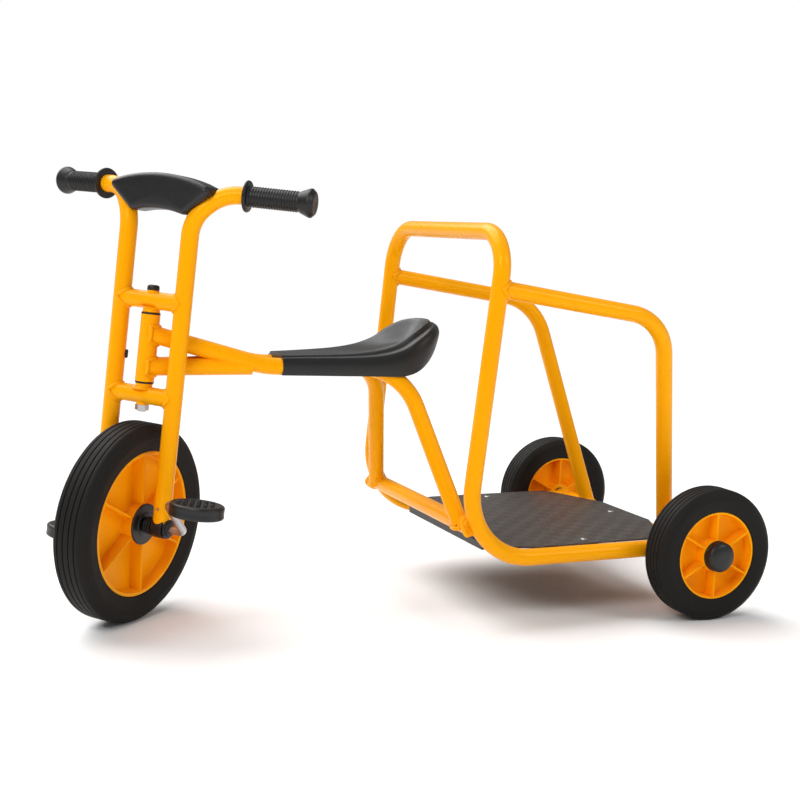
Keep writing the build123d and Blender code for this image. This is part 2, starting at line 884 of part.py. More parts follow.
def seat_body():
    """Moulded seat with skirts outside the rails and bosses over the brackets."""
    side = extrude(seat_side(), seat_back_half, both=True)
    body = side & extrude(seat_plan(0), 2 * seat_peak_z)
    ceiling = rail_level_z + tube_r
    cavity = extrude(seat_plan(seat_wall), ceiling)
    opening = seat_front_half - seat_wall
    mouth = Pos(rear_axle_x + seat_front_x, 0, ceiling / 2) * Box(4 * seat_wall, 2 * opening, ceiling)
    back_solid = Box(seat_back_half, 4 * seat_back_half, 2 * ceiling)
    behind = Pos(rear_axle_x + seat_back_x, 0, ceiling / 2) * back_solid
    body = body - (cavity - behind) - mouth
    plate_top = seat_bracket_z + seat_bracket_thick
    for x in (seat_bracket_front_x, seat_bracket_back_x):
        body += upright(seat_boss_r, plate_top, ceiling + 1, rear_axle_x + x)
    rail = rod(main_rail_path(), tube_r)
    body = body - seat_screws() - rail - mirrored(rail)
    return max(body.solids(), key=lambda s: s.volume)


def seat_screws():
    screws = []
    for x in (seat_bracket_front_x, seat_bracket_back_x):
        head = upright(seat_screw_head_r, seat_bracket_z - seat_screw_head, seat_bracket_z, rear_axle_x + x)
        end = seat_bracket_z + seat_screw_length
        screws.append(head + upright(seat_screw_r, seat_bracket_z - 1, end, rear_axle_x + x))
    return Compound(children=screws)


def seat_bracket(x):
    """Plate between the rails that the seat is screwed to."""
    plate = Box(seat_bracket_width, 4 * rail_back_y, seat_bracket_thick)
    plate = Pos(rear_axle_x + x, 0, seat_bracket_z + seat_bracket_thick / 2) * plate
    rail = rod(main_rail_path(), tube_r)
    plate = plate - rail - mirrored(rail) - seat_screws()
    return min(plate.solids(), key=lambda s: abs(s.center().Y))


# ---- Platform ----
def board_outline():
    rear_x, front_x = board_rear_x, board_front_x
    half, narrow = board_half, board_narrow_half
    side = [
        (rear_x, board_cut_y),
        (board_cut_x, half),
        (board_narrow_x, half),
        (board_narrow_x + board_narrow_run, narrow),
        (front_x, narrow),
    ]
    points = side + [(x, -y) for x, y in reversed(side)]
    face = make_face(Polyline(points, close=True))
    return fillet(face.vertices(), board_corner_r)


def board_screws():
    """Countersunk screws, flush with the top of the board."""
    spots = [(rear_tab_x, 0)]
    for y in (-1, 1):
        spots.append((middle_bearer_x, y * side_screw_y))
        spots.append((front_bearer_x, y * front_screw_y))
    screws = []
    for x, y in spots:
        low = board_top_z - board_screw_length
        shank = upright(board_screw_r, low, board_top_z - 1, rear_axle_x + x, y)
        head = Cone(board_screw_r, board_screw_head_r, board_screw_head)
        head = Pos(rear_axle_x + x, y, board_top_z - board_screw_head / 2) * head
        screws.append(shank + head)
    return Compound(children=screws)


def platform_board():
    sheet = Pos(rear_axle_x, 0, board_bottom_z) * extrude(board_outline(), board_thick)
    return sheet - board_screws()


def middle_bearer():
    """Flat bar under the board, from rail to rail."""
    box = Box(bearer_width, 2 * rail_y, bearer_thick)
    box = Pos(rear_axle_x + middle_bearer_x, 0, board_bottom_z - bearer_thick / 2) * box
    box = box - rod(hoop_path(), tube_r) - board_screws()
    return max(box.solids(), key=lambda s: s.volume)


def front_bearer():
    """Stiffening bar under the front edge of the board."""
    box = Box(bearer_width, 2 * front_bearer_half, front_bearer_height)
    middle = board_bottom_z - front_bearer_height / 2
    return Pos(rear_axle_x + front_bearer_x, 0, middle) * box - board_screws()


def rear_tab():
    """Tab on the axle tube that holds the back of the board."""
    box = Box(rear_tab_length, rear_tab_width, bearer_thick)
    box = Pos(rear_axle_x + rear_tab_x, 0, board_bottom_z - bearer_thick / 2) * box
    return box - axle_tube_outside() - board_screws()


# ---- Build and write every piece ----
leg_path = fork_path()
leg_outside = rod(leg_path, tube_r)
other_leg_outside = mirrored(leg_outside)
left_leg = fork_tube(leg_path)

fork_pieces = {
    "left_fork_tube": left_leg,
    "right_fork_tube": mirrored(left_leg),
    "upper_crossbar": fork_crossbar(upper_bar_height, -1),
    "lower_crossbar": fork_crossbar(lower_bar_height, 1),
    "steering_saddles": Compound(children=[saddle(upper_bar_height, 1), saddle(lower_bar_height, -1)]),
    "steering_bolt": steering_bolt(),
    "steering_nut": steering_nut(),
    "steering_cap": steering_cap(),
    "handlebar_bridge": handlebar_bridge(leg_outside, other_leg_outside) - pad_screws(),
    "handlebar_pad": handlebar_pad(leg_outside, other_leg_outside),
    "pad_screws": pad_screws(),
    "left_grip": grip(),
    "right_grip": mirrored(grip()),
    "left_bumper": bumper(),
    "right_bumper": mirrored(bumper()),
    "left_axle_block": axle_block(),
    "right_axle_block": mirrored(axle_block()),
    "axle_block_pins": axle_block_pins(),
    "front_tyre": front_tyre(),
    "front_rim": front_rim(),
    "left_hub_flange": hub_flange(),
    "right_hub_flange": mirrored(hub_flange()),
    "crank_axle": crank_axle(),
    "left_pedal": pedal(),
    "left_pedal_cap": pedal_cap(),
}
fork_pieces["right_pedal"] = opposite(pedal())
fork_pieces["right_pedal_cap"] = opposite(pedal_cap())
fork_pieces["pedal_nuts"] = Compound(children=[pedal_nut(), opposite(pedal_nut())])

pieces = {name: fork_frame * shape for name, shape in fork_pieces.items()}
pieces["head_tube"] = axis_frame * head_tube()
pieces["lower_head_bush"] = axis_frame * head_bush(True)
pieces["upper_head_bush"] = axis_frame * head_bush(False)
pieces["left_main_rail"] = main_rail()
pieces["right_main_rail"] = mirrored(main_rail())
pieces["left_lower_strut"] = lower_strut()
pieces["right_lower_strut"] = mirrored(lower_strut())
pieces["carrier_hoop"] = carrier_hoop()
pieces["front_crossbar"] = front_crossbar()
pieces["left_handrail"] = handrail()
pieces["right_handrail"] = mirrored(handrail())
pieces["rear_axle_tube"] = rear_axle_tube()
pieces["rear_axle"] = rear_axle()
pieces["axle_washers"] = axle_washers()
pieces["axle_nuts"] = axle_nuts()
pieces["seat"] = seat_body()
pieces["front_seat_bracket"] = seat_bracket(seat_bracket_front_x)
pieces["rear_seat_bracket"] = seat_bracket(seat_bracket_back_x)
pieces["seat_screws"] = seat_screws()
pieces["platform_board"] = platform_board()
pieces["middle_bearer"] = middle_bearer()
pieces["front_bearer"] = front_bearer()
pieces["rear_tab"] = rear_tab()
pieces["platform_screws"] = board_screws()
for name, shape in (("tyre", rear_tyre()), ("rim", rear_rim()), ("bushes", rear_bushes()),
                    ("hub_cap", hub_cap())):
    pieces[f"left_rear_{name}"] = shape
    pieces[f"right_rear_{name}"] = mirrored(shape)

for name, shape in pieces.items():
    export_step(shape, f"parts/{name}.step")
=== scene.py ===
import json
import math

import bmesh
import bpy
from mathutils import Matrix, Vector


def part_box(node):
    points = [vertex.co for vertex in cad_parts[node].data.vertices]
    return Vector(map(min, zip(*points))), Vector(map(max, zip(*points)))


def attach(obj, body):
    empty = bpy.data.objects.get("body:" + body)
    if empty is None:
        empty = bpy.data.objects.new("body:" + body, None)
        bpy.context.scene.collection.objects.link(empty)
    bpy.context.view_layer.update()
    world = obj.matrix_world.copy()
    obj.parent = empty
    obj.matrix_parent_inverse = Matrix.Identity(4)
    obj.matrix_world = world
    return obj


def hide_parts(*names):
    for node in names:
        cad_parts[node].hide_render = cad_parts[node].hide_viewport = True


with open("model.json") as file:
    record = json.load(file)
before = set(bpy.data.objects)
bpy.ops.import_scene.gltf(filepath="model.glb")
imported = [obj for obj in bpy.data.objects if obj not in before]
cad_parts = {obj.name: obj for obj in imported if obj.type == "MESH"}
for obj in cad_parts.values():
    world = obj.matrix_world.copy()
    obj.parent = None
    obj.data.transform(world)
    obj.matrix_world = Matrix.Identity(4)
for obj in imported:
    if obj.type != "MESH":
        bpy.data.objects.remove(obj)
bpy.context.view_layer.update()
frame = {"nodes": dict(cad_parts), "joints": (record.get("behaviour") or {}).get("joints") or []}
print("frame loaded:", len(frame["nodes"]), "nodes")

joints = {joint["name"]: joint for joint in frame["joints"]}
scene = bpy.context.scene
mm = 0.001

# the fork's own frame: z up the steering axis, y along the axle at rest, origin at the front hub
hubCentre = Vector(joints["steering"]["pos_m"])
steerAxis = Vector(joints["steering"]["axis"]).normalized()
axleAxis = Vector(joints["front_wheel_spin"]["axis"]).normalized()
forkAhead = axleAxis.cross(steerAxis)
forkPlace = Matrix.Translation(hubCentre) @ Matrix((forkAhead, axleAxis, steerAxis)).transposed().to_4x4()

# the head's frame: z up the steering axis too, but y straight across the tricycle
headAhead = Vector((0, 1, 0)).cross(steerAxis)
headTurn = Matrix((headAhead, Vector((0, 1, 0)), steerAxis)).transposed().to_4x4()
headPlace = Matrix.Translation(hubCentre) @ headTurn

rearAxle = Vector((joints["left_rear_wheel_spin"]["pos_m"][0], 0, joints["left_rear_wheel_spin"]["pos_m"][2]))
rearWheelY = joints["left_rear_wheel_spin"]["pos_m"][1]


def fromRear(x, y, z):
    # a point measured in millimetres from the rear axle line, the centre plane and the floor
    return Vector((rearAxle.x + x * mm, y * mm, z * mm))


# camera, with yaw, pitch and roll in degrees
view = {"place": (0.8235, 1.9082, 0.5976), "yaw": -113.585, "pitch": -7.470, "roll": 2.046, "lens": 58.92}


def placeCamera():
    data = bpy.data.cameras.new("viewCamera")
    data.lens = view["lens"]
    data.sensor_width = 36
    camera = bpy.data.objects.new("viewCamera", data)
    scene.collection.objects.link(camera)
    turn = Matrix.Rotation(math.radians(view["yaw"] - 90), 4, "Z")
    turn = turn @ Matrix.Rotation(math.radians(90 + view["pitch"]), 4, "X")
    turn = turn @ Matrix.Rotation(math.radians(view["roll"]), 4, "Z")
    camera.matrix_world = Matrix.Translation(view["place"]) @ turn
    scene.camera = camera


# studio: a pale floor, an even white surround, a broad overhead light and soft lamps
studio = {
    "seen": 1.0,
    "surround": 0.30,
    "floorSize": 60,
    "overhead": {"strength": 3.0, "spread": 60, "lean": (28, 18, 0)},
    "lamps": [
        # place, aim, width, watts
        ((1.7, 1.5, 1.9), (0.1, 0, 0.3), 0.9, 26),
        ((-1.6, 1.8, 1.7), (-0.3, 0, 0.3), 0.9, 15),
        ((0.8, -2.0, 2.0), (0, 0, 0.4), 1.2, 9),
    ],
}


def makeStudio():
    # the backdrop is brighter than the light it gives, as a lit paper roll is behind the lamps
    world = bpy.data.worlds.new("studioWorld")
    world.use_nodes = True
    nodes, links = world.node_tree.nodes, world.node_tree.links
    path = nodes.new("ShaderNodeLightPath")
    strength = nodes.new("ShaderNodeMapRange")
    strength.inputs["To Min"].default_value = studio["surround"]
    strength.inputs["To Max"].default_value = studio["seen"]
    links.new(path.outputs["Is Camera Ray"], strength.inputs["Value"])
    nodes["Background"].inputs["Color"].default_value = (1, 1, 1, 1)
    links.new(strength.outputs[0], nodes["Background"].inputs["Strength"])
    scene.world = world
    scene.view_settings.view_transform = "Standard"
    half = studio["floorSize"] / 2
    mesh = bpy.data.meshes.new("floor")
    corners = [(-half, -half, 0), (half, -half, 0), (half, half, 0), (-half, half, 0)]
    mesh.from_pydata(corners, [], [(0, 1, 2, 3)])
    floor = bpy.data.objects.new("floor", mesh)
    scene.collection.objects.link(floor)
    mesh.materials.append(floorMaterial())
    sun = bpy.data.lights.new("overhead", "SUN")
    sun.energy = studio["overhead"]["strength"]
    sun.angle = math.radians(studio["overhead"]["spread"])
    holder = bpy.data.objects.new("overhead", sun)
    holder.rotation_euler = [math.radians(value) for value in studio["overhead"]["lean"]]
    scene.collection.objects.link(holder)
    for i, (place, aim, width, watts) in enumerate(studio["lamps"]):
        lamp = bpy.data.lights.new(f"lamp{i}", "AREA")
        lamp.size = width
        lamp.energy = watts
        holder = bpy.data.objects.new(f"lamp{i}", lamp)
        holder.location = place
        holder.rotation_euler = (Vector(aim) - Vector(place)).to_track_quat("-Z", "Y").to_euler()
        scene.collection.objects.link(holder)


def floorMaterial():
    material = bpy.data.materials.new("paleFloor")
    material.use_nodes = True
    shader = material.node_tree.nodes["Principled BSDF"]
    shader.inputs["Roughness"].default_value = 0.9
    shader.inputs["Specular IOR Level"].default_value = 0.1
    nodes, links = material.node_tree.nodes, material.node_tree.links
    noise = nodes.new("ShaderNodeTexNoise")
    noise.inputs["Scale"].default_value = 3
    tone = nodes.new("ShaderNodeMix")
    tone.data_type = "RGBA"
    tone.inputs[6].default_value = (0.93, 0.93, 0.93, 1)
    tone.inputs[7].default_value = (0.95, 0.95, 0.95, 1)
    place = nodes.new("ShaderNodeTexCoord")
    links.new(place.outputs["Object"], noise.inputs["Vector"])
    links.new(noise.outputs[0], tone.inputs[0])
    links.new(tone.outputs[2], shader.inputs["Base Color"])
    return material


placeCamera()
makeStudio()
print("camera and studio ready")


# shader groups

def newGroup(name, inputs, outputs):
    group = bpy.data.node_groups.new(name, "ShaderNodeTree")
    for label, value in inputs.items():
        socket = group.interface.new_socket(label, in_out="INPUT", socket_type="NodeSocketFloat")
        socket.default_value = value
    for label in outputs:
        group.interface.new_socket(label, in_out="OUTPUT", socket_type="NodeSocketFloat")
    return group, group.nodes.new("NodeGroupInput"), group.nodes.new("NodeGroupOutput")


def objectPlace(group):
    return group.nodes.new("ShaderNodeTexCoord").outputs["Object"]


def noiseNode(group, vector, scale, detail=3.0, roughness=0.5):
    node = group.nodes.new("ShaderNodeTexNoise")
    group.links.new(vector, node.inputs["Vector"])
    if isinstance(scale, (int, float)):
        node.inputs["Scale"].default_value = scale
    else:
        group.links.new(scale, node.inputs["Scale"])
    node.inputs["Detail"].default_value = detail
    node.inputs["Roughness"].default_value = roughness
    return node.outputs[0]


def mathNode(group, operation, first, second=None, clamp=False):
    node = group.nodes.new("ShaderNodeMath")
    node.operation = operation
    node.use_clamp = clamp
    for socket, value in zip(node.inputs, (first, second)):
        if value is None:
            continue
        if isinstance(value, (int, float)):
            socket.default_value = value
        else:
            group.links.new(value, socket)
    return node.outputs[0]


def rangeNode(group, value, low, high, outLow=0.0, outHigh=1.0):
    node = group.nodes.new("ShaderNodeMapRange")
    group.links.new(value, node.inputs["Value"])
    for label, number in (("From Min", low), ("From Max", high), ("To Min", outLow), ("To Max", outHigh)):
        if isinstance(number, (int, float)):
            node.inputs[label].default_value = number
        else:
            group.links.new(number, node.inputs[label])
    return node.outputs[0]


def makeDriftGroup():
    # slow drift of tone over a piece, with a finer mottling in it
    inputs = {"Size": 6.0, "Mottle": 0.35}
    group, given, out = newGroup("toneDrift", inputs, ["Drift"])
    slow = noiseNode(group, objectPlace(group), given.outputs["Size"], 2.0)
    fine = noiseNode(group, objectPlace(group), mathNode(group, "MULTIPLY", given.outputs["Size"], 14.0), 4.0)
    share = mathNode(group, "MULTIPLY", fine, given.outputs["Mottle"])
    rest = mathNode(group, "MULTIPLY", slow, mathNode(group, "SUBTRACT", 1.0, given.outputs["Mottle"]))
    group.links.new(rangeNode(group, mathNode(group, "ADD", share, rest), 0.3, 0.7), out.inputs["Drift"])
    return group


def makeGrainGroup():
    # moulded or sprayed surface texture: coarse swell and fine grain in one height
    inputs = {"Swell Size": 120.0, "Grain Size": 1500.0, "Grain Share": 0.5}
    group, given, out = newGroup("surfaceGrain", inputs, ["Height"])
    swell = noiseNode(group, objectPlace(group), given.outputs["Swell Size"], 1.0)
    grain = noiseNode(group, objectPlace(group), given.outputs["Grain Size"], 2.0, 0.6)
    fine = mathNode(group, "MULTIPLY", grain, given.outputs["Grain Share"])
    rest = mathNode(group, "SUBTRACT", 1.0, given.outputs["Grain Share"])
    coarse = mathNode(group, "MULTIPLY", swell, rest)
    group.links.new(mathNode(group, "ADD", fine, coarse), out.inputs["Height"])
    return group


def makeWearGroup():
    # short scuffs and fine dust: dust settles on faces that look up
    inputs = {"Scuff Size": 60.0, "Scuffs": 0.3, "Dust": 0.3}
    group, given, out = newGroup("scuffsAndDust", inputs, ["Scuff", "Dust"])
    stretch = group.nodes.new("ShaderNodeMapping")
    stretch.inputs["Scale"].default_value = (1.0, 0.25, 3.0)
    stretch.inputs["Rotation"].default_value = (0.3, 0.5, 0.9)
    group.links.new(objectPlace(group), stretch.inputs["Vector"])
    lines = noiseNode(group, stretch.outputs[0], given.outputs["Scuff Size"], 6.0, 0.7)
    scuff = rangeNode(group, lines, 0.62, 0.78)
    group.links.new(mathNode(group, "MULTIPLY", scuff, given.outputs["Scuffs"]), out.inputs["Scuff"])
    facing = group.nodes.new("ShaderNodeSeparateXYZ")
    group.links.new(group.nodes.new("ShaderNodeNewGeometry").outputs["Normal"], facing.inputs[0])
    upward = rangeNode(group, facing.outputs["Z"], 0.2, 1.0)
    specks = rangeNode(group, noiseNode(group, objectPlace(group), 240.0, 5.0, 0.7), 0.4, 0.75)
    dust = mathNode(group, "MULTIPLY", mathNode(group, "MULTIPLY", upward, specks), given.outputs["Dust"])
    group.links.new(dust, out.inputs["Dust"])
    return group


def makeTreadGroup():
    # basket of fine raised lines: squares of lines that run alternately one way and the other
    inputs = {"Square": 0.020, "Line Pitch": 0.0036}
    group, given, out = newGroup("basketTread", inputs, ["Height", "Square Tone"])
    split = group.nodes.new("ShaderNodeSeparateXYZ")
    group.links.new(objectPlace(group), split.inputs[0])
    across = split.outputs["X"], split.outputs["Y"]
    counts = [mathNode(group, "DIVIDE", axis, given.outputs["Square"]) for axis in across]
    cells = [mathNode(group, "FLOOR", count) for count in counts]
    odd = mathNode(group, "PINGPONG", mathNode(group, "ADD", *cells), 1.0)
    waves = []
    for axis in across:
        turns = mathNode(group, "DIVIDE", axis, given.outputs["Line Pitch"])
        waves.append(mathNode(group, "SINE", mathNode(group, "MULTIPLY", turns, math.tau)))
    first = mathNode(group, "MULTIPLY", waves[0], odd)
    second = mathNode(group, "MULTIPLY", waves[1], mathNode(group, "SUBTRACT", 1.0, odd))
    height = rangeNode(group, mathNode(group, "ADD", first, second), -0.6, 0.6)
    group.links.new(height, out.inputs["Height"])
    group.links.new(odd, out.inputs["Square Tone"])
    return group


drift = makeDriftGroup()
grain = makeGrainGroup()
wear = makeWearGroup()
tread = makeTreadGroup()


def groupNode(tree, group, **values):
    node = tree.nodes.new("ShaderNodeGroup")
    node.node_tree = group
    for label, value in values.items():
        node.inputs[label.replace("_", " ")].default_value = value
    return node


def mixColour(tree, share, first, second):
    node = tree.nodes.new("ShaderNodeMix")
    node.data_type = "RGBA"
    tree.links.new(share, node.inputs[0])
    for socket, colour in ((node.inputs[6], first), (node.inputs[7], second)):
        if isinstance(colour, tuple):
            socket.default_value = (*colour, 1)
        else:
            tree.links.new(colour, socket)
    return node.outputs[2]


def surface(name, look):
    # one Principled shader fed by the shared groups; everything that is even stays on its own sockets
    material = bpy.data.materials.new(name)
    material.use_nodes = True
    tree = material.node_tree
    shader = tree.nodes["Principled BSDF"]
    tone = groupNode(tree, drift, Size=look["driftSize"], Mottle=look["mottle"])
    worn = groupNode(tree, wear, Scuff_Size=look["scuffSize"], Scuffs=look["scuffs"], Dust=look["dust"])
    fine = groupNode(tree, grain, Swell_Size=look["swell"], Grain_Size=look["grain"],
                     Grain_Share=look["grainShare"])
    colour = mixColour(tree, tone.outputs["Drift"], look["colour"], look["shade"])
    colour = mixColour(tree, worn.outputs["Scuff"], colour, look["scuffColour"])
    colour = mixColour(tree, worn.outputs["Dust"], colour, look["dustColour"])
    tree.links.new(colour, shader.inputs["Base Color"])
    rough = rangeNode(tree, tone.outputs["Drift"], 0.0, 1.0, *look["rough"])
    rough = mathNode(tree, "ADD", rough, mathNode(tree, "MULTIPLY", worn.outputs["Scuff"], 0.3), clamp=True)
    rough = mathNode(tree, "ADD", rough, mathNode(tree, "MULTIPLY", worn.outputs["Dust"], 0.3), clamp=True)
    tree.links.new(rough, shader.inputs["Roughness"])
    bump = tree.nodes.new("ShaderNodeBump")
    bump.inputs["Strength"].default_value = look["bump"]
    bump.inputs["Distance"].default_value = look["bumpDepth"]
    tree.links.new(fine.outputs["Height"], bump.inputs["Height"])
    tree.links.new(bump.outputs["Normal"], shader.inputs["Normal"])
    shader.inputs["Metallic"].default_value = look.get("metal", 0.0)
    shader.inputs["Coat Weight"].default_value = look.get("coat", 0.0)
    shader.inputs["Coat Roughness"].default_value = look.get("coatRough", 0.1)
    shader.inputs["Specular IOR Level"].default_value = look.get("specular", 0.5)
    shader.inputs["Specular Tint"].default_value = (*look.get("tint", (1.0, 1.0, 1.0)), 1)
    return material, tree, shader, bump


framePaint = {
    "colour": (0.95, 0.385, 0.001), "shade": (0.92, 0.355, 0.001), "driftSize": 5.0, "mottle": 0.2,
    "scuffSize": 90.0, "scuffs": 0.05, "scuffColour": (0.80, 0.30, 0.01),
    "dust": 0.04, "dustColour": (0.75, 0.55, 0.30), "rough": (0.24, 0.34),
    "swell": 420.0, "grain": 1800.0, "grainShare": 0.25, "bump": 0.16, "bumpDepth": 0.0004,
    "coat": 0.02, "coatRough": 0.08, "specular": 0.30, "tint": (1.0, 0.75, 0.12),
}
rimPlastic = {
    "colour": (1.00, 0.400, 0.001), "shade": (0.98, 0.350, 0.001), "driftSize": 9.0, "mottle": 0.3,
    "scuffSize": 120.0, "scuffs": 0.08, "scuffColour": (0.85, 0.35, 0.08),
    "dust": 0.08, "dustColour": (0.80, 0.50, 0.25), "rough": (0.34, 0.46),
    "swell": 200.0, "grain": 2400.0, "grainShare": 0.6, "bump": 0.22, "bumpDepth": 0.0003, "specular": 0.25,
    "tint": (1.0, 0.70, 0.12),
}
tyreRubber = {
    "colour": (0.0055, 0.0046, 0.0038), "shade": (0.0085, 0.0072, 0.006), "driftSize": 14.0, "mottle": 0.5,
    "scuffSize": 70.0, "scuffs": 0.22, "scuffColour": (0.035, 0.031, 0.027),
    "dust": 0.07, "dustColour": (0.060, 0.054, 0.048), "rough": (0.58, 0.72),
    "swell": 150.0, "grain": 1300.0, "grainShare": 0.7, "bump": 0.4, "bumpDepth": 0.0004, "specular": 0.20,
}
gripRubber = {
    "colour": (0.006, 0.006, 0.006), "shade": (0.009, 0.0085, 0.008), "driftSize": 20.0, "mottle": 0.5,
    "scuffSize": 150.0, "scuffs": 0.18, "scuffColour": (0.045, 0.043, 0.042),
    "dust": 0.06, "dustColour": (0.07, 0.065, 0.06), "rough": (0.36, 0.48),
    "swell": 300.0, "grain": 2000.0, "grainShare": 0.7, "bump": 0.3, "bumpDepth": 0.0003, "specular": 0.35,
}
blackPlastic = {
    "colour": (0.0048, 0.0046, 0.0044), "shade": (0.0072, 0.0069, 0.0066), "driftSize": 8.0, "mottle": 0.4,
    "scuffSize": 110.0, "scuffs": 0.10, "scuffColour": (0.034, 0.032, 0.030),
    "dust": 0.05, "dustColour": (0.10, 0.095, 0.09), "rough": (0.34, 0.44),
    "swell": 260.0, "grain": 1700.0, "grainShare": 0.8, "bump": 0.35, "bumpDepth": 0.0003, "specular": 0.42,
}
blackPaint = {
    "colour": (0.020, 0.020, 0.020), "shade": (0.027, 0.026, 0.025), "driftSize": 7.0, "mottle": 0.3,
    "scuffSize": 100.0, "scuffs": 0.12, "scuffColour": (0.06, 0.058, 0.055),
    "dust": 0.08, "dustColour": (0.11, 0.10, 0.09), "rough": (0.40, 0.50),
    "swell": 350.0, "grain": 1500.0, "grainShare": 0.4, "bump": 0.2, "bumpDepth": 0.0003,
}
brightSteel = {
    "colour": (0.58, 0.58, 0.59), "shade": (0.50, 0.50, 0.52), "driftSize": 30.0, "mottle": 0.5,
    "scuffSize": 260.0, "scuffs": 0.35, "scuffColour": (0.42, 0.41, 0.40),
    "dust": 0.04, "dustColour": (0.40, 0.37, 0.33), "rough": (0.26, 0.40),
    "swell": 500.0, "grain": 2600.0, "grainShare": 0.6, "bump": 0.18, "bumpDepth": 0.0002, "metal": 1.0,
}
platformSheet = {
    "colour": (0.014, 0.011, 0.009), "shade": (0.022, 0.016, 0.012), "driftSize": 7.0, "mottle": 0.4,
    "scuffSize": 45.0, "scuffs": 0.25, "scuffColour": (0.075, 0.066, 0.058),
    "dust": 0.06, "dustColour": (0.10, 0.085, 0.070), "rough": (0.40, 0.56),
    "swell": 200.0, "grain": 1600.0, "grainShare": 0.6, "bump": 0.3, "bumpDepth": 0.0003,
}


def sheetMaterial():
    # the platform's anti-slip face: the basket of lines rides on the shared grain
    material, tree, shader, bump = surface("platformSheet", platformSheet)
    basket = groupNode(tree, tread)
    relief = tree.nodes.new("ShaderNodeBump")
    relief.inputs["Strength"].default_value = 0.75
    relief.inputs["Distance"].default_value = 0.0007
    tree.links.new(basket.outputs["Height"], relief.inputs["Height"])
    tree.links.new(bump.outputs["Normal"], relief.inputs["Normal"])
    tree.links.new(relief.outputs["Normal"], shader.inputs["Normal"])
    colour = shader.inputs["Base Color"].links[0].from_socket
    crest = mathNode(tree, "MULTIPLY", basket.outputs["Height"], 0.6)
    lighter = mixColour(tree, crest, colour, (0.100, 0.082, 0.066))
    tree.links.new(lighter, shader.inputs["Base Color"])
    return material


materials = {name: surface(name, look)[0] for name, look in (
    ("framePaint", framePaint), ("rimPlastic", rimPlastic), ("tyreRubber", tyreRubber),
    ("gripRubber", gripRubber), ("blackPlastic", blackPlastic), ("blackPaint", blackPaint),
    ("brightSteel", brightSteel))}
materials["platformSheet"] = sheetMaterial()
print("materials made:", len(materials))


# geometry node trees

def newTree(name, inputs):
    tree = bpy.data.node_groups.new(name, "GeometryNodeTree")
    tree.interface.new_socket("Geometry", in_out="INPUT", socket_type="NodeSocketGeometry")
    for label, kind, value in inputs:
        socket = tree.interface.new_socket(label, in_out="INPUT", socket_type=kind)
        if value is not None:
            socket.default_value = value
    tree.interface.new_socket("Geometry", in_out="OUTPUT", socket_type="NodeSocketGeometry")
    return tree, tree.nodes.new("NodeGroupInput"), tree.nodes.new("NodeGroupOutput")


def endTree(tree, given, out, geometry):
    realize = tree.nodes.new("GeometryNodeRealizeInstances")
    finish = tree.nodes.new("GeometryNodeSetMaterial")
    tree.links.new(geometry, realize.inputs["Geometry"])
    tree.links.new(realize.outputs[0], finish.inputs["Geometry"])
    tree.links.new(given.outputs["Material"], finish.inputs["Material"])
    tree.links.new(finish.outputs[0], out.inputs[0])
    return tree


def makeTubeTree():
    # bent tubes: corner points carry the radius of their bend
    tree, given, out = newTree("bentTubes", [
        ("Tube Radius", "NodeSocketFloat", 0.013), ("Sides", "NodeSocketInt", 48),
        ("Bend Steps", "NodeSocketInt", 20), ("Ripple", "NodeSocketFloat", 0.0),
        ("Material", "NodeSocketMaterial", None)])
    toCurve = tree.nodes.new("GeometryNodeMeshToCurve")
    bends = tree.nodes.new("GeometryNodeFilletCurve")
    bends.mode = "POLY"
    bendRadius = tree.nodes.new("GeometryNodeInputNamedAttribute")
    bendRadius.data_type = "FLOAT"
    bendRadius.inputs["Name"].default_value = "bend"
    section = tree.nodes.new("GeometryNodeCurvePrimitiveCircle")
    sweep = tree.nodes.new("GeometryNodeCurveToMesh")
    sweep.inputs["Fill Caps"].default_value = True
    ripple = tree.nodes.new("GeometryNodeSetPosition")
    noise = tree.nodes.new("ShaderNodeTexNoise")
    noise.inputs["Scale"].default_value = 260
    level = tree.nodes.new("ShaderNodeMath")
    level.operation = "SUBTRACT"
    level.inputs[1].default_value = 0.5
    amount = tree.nodes.new("ShaderNodeMath")
    amount.operation = "MULTIPLY"
    push = tree.nodes.new("ShaderNodeVectorMath")
    push.operation = "SCALE"
    normal = tree.nodes.new("GeometryNodeInputNormal")
    link = tree.links.new
    link(given.outputs["Geometry"], toCurve.inputs[0])
    link(toCurve.outputs[0], bends.inputs["Curve"])
    link(given.outputs["Bend Steps"], bends.inputs["Count"])
    link(bendRadius.outputs["Attribute"], bends.inputs["Radius"])
    link(given.outputs["Tube Radius"], section.inputs["Radius"])
    link(given.outputs["Sides"], section.inputs["Resolution"])
    link(bends.outputs[0], sweep.inputs["Curve"])
    link(section.outputs[0], sweep.inputs["Profile Curve"])
    link(sweep.outputs[0], ripple.inputs["Geometry"])
    link(noise.outputs[0], level.inputs[0])
    link(level.outputs[0], amount.inputs[0])
    link(given.outputs["Ripple"], amount.inputs[1])
    link(normal.outputs[0], push.inputs[0])
    link(amount.outputs[0], push.inputs["Scale"])
    link(push.outputs[0], ripple.inputs["Offset"])
    return endTree(tree, given, out, ripple.outputs[0])


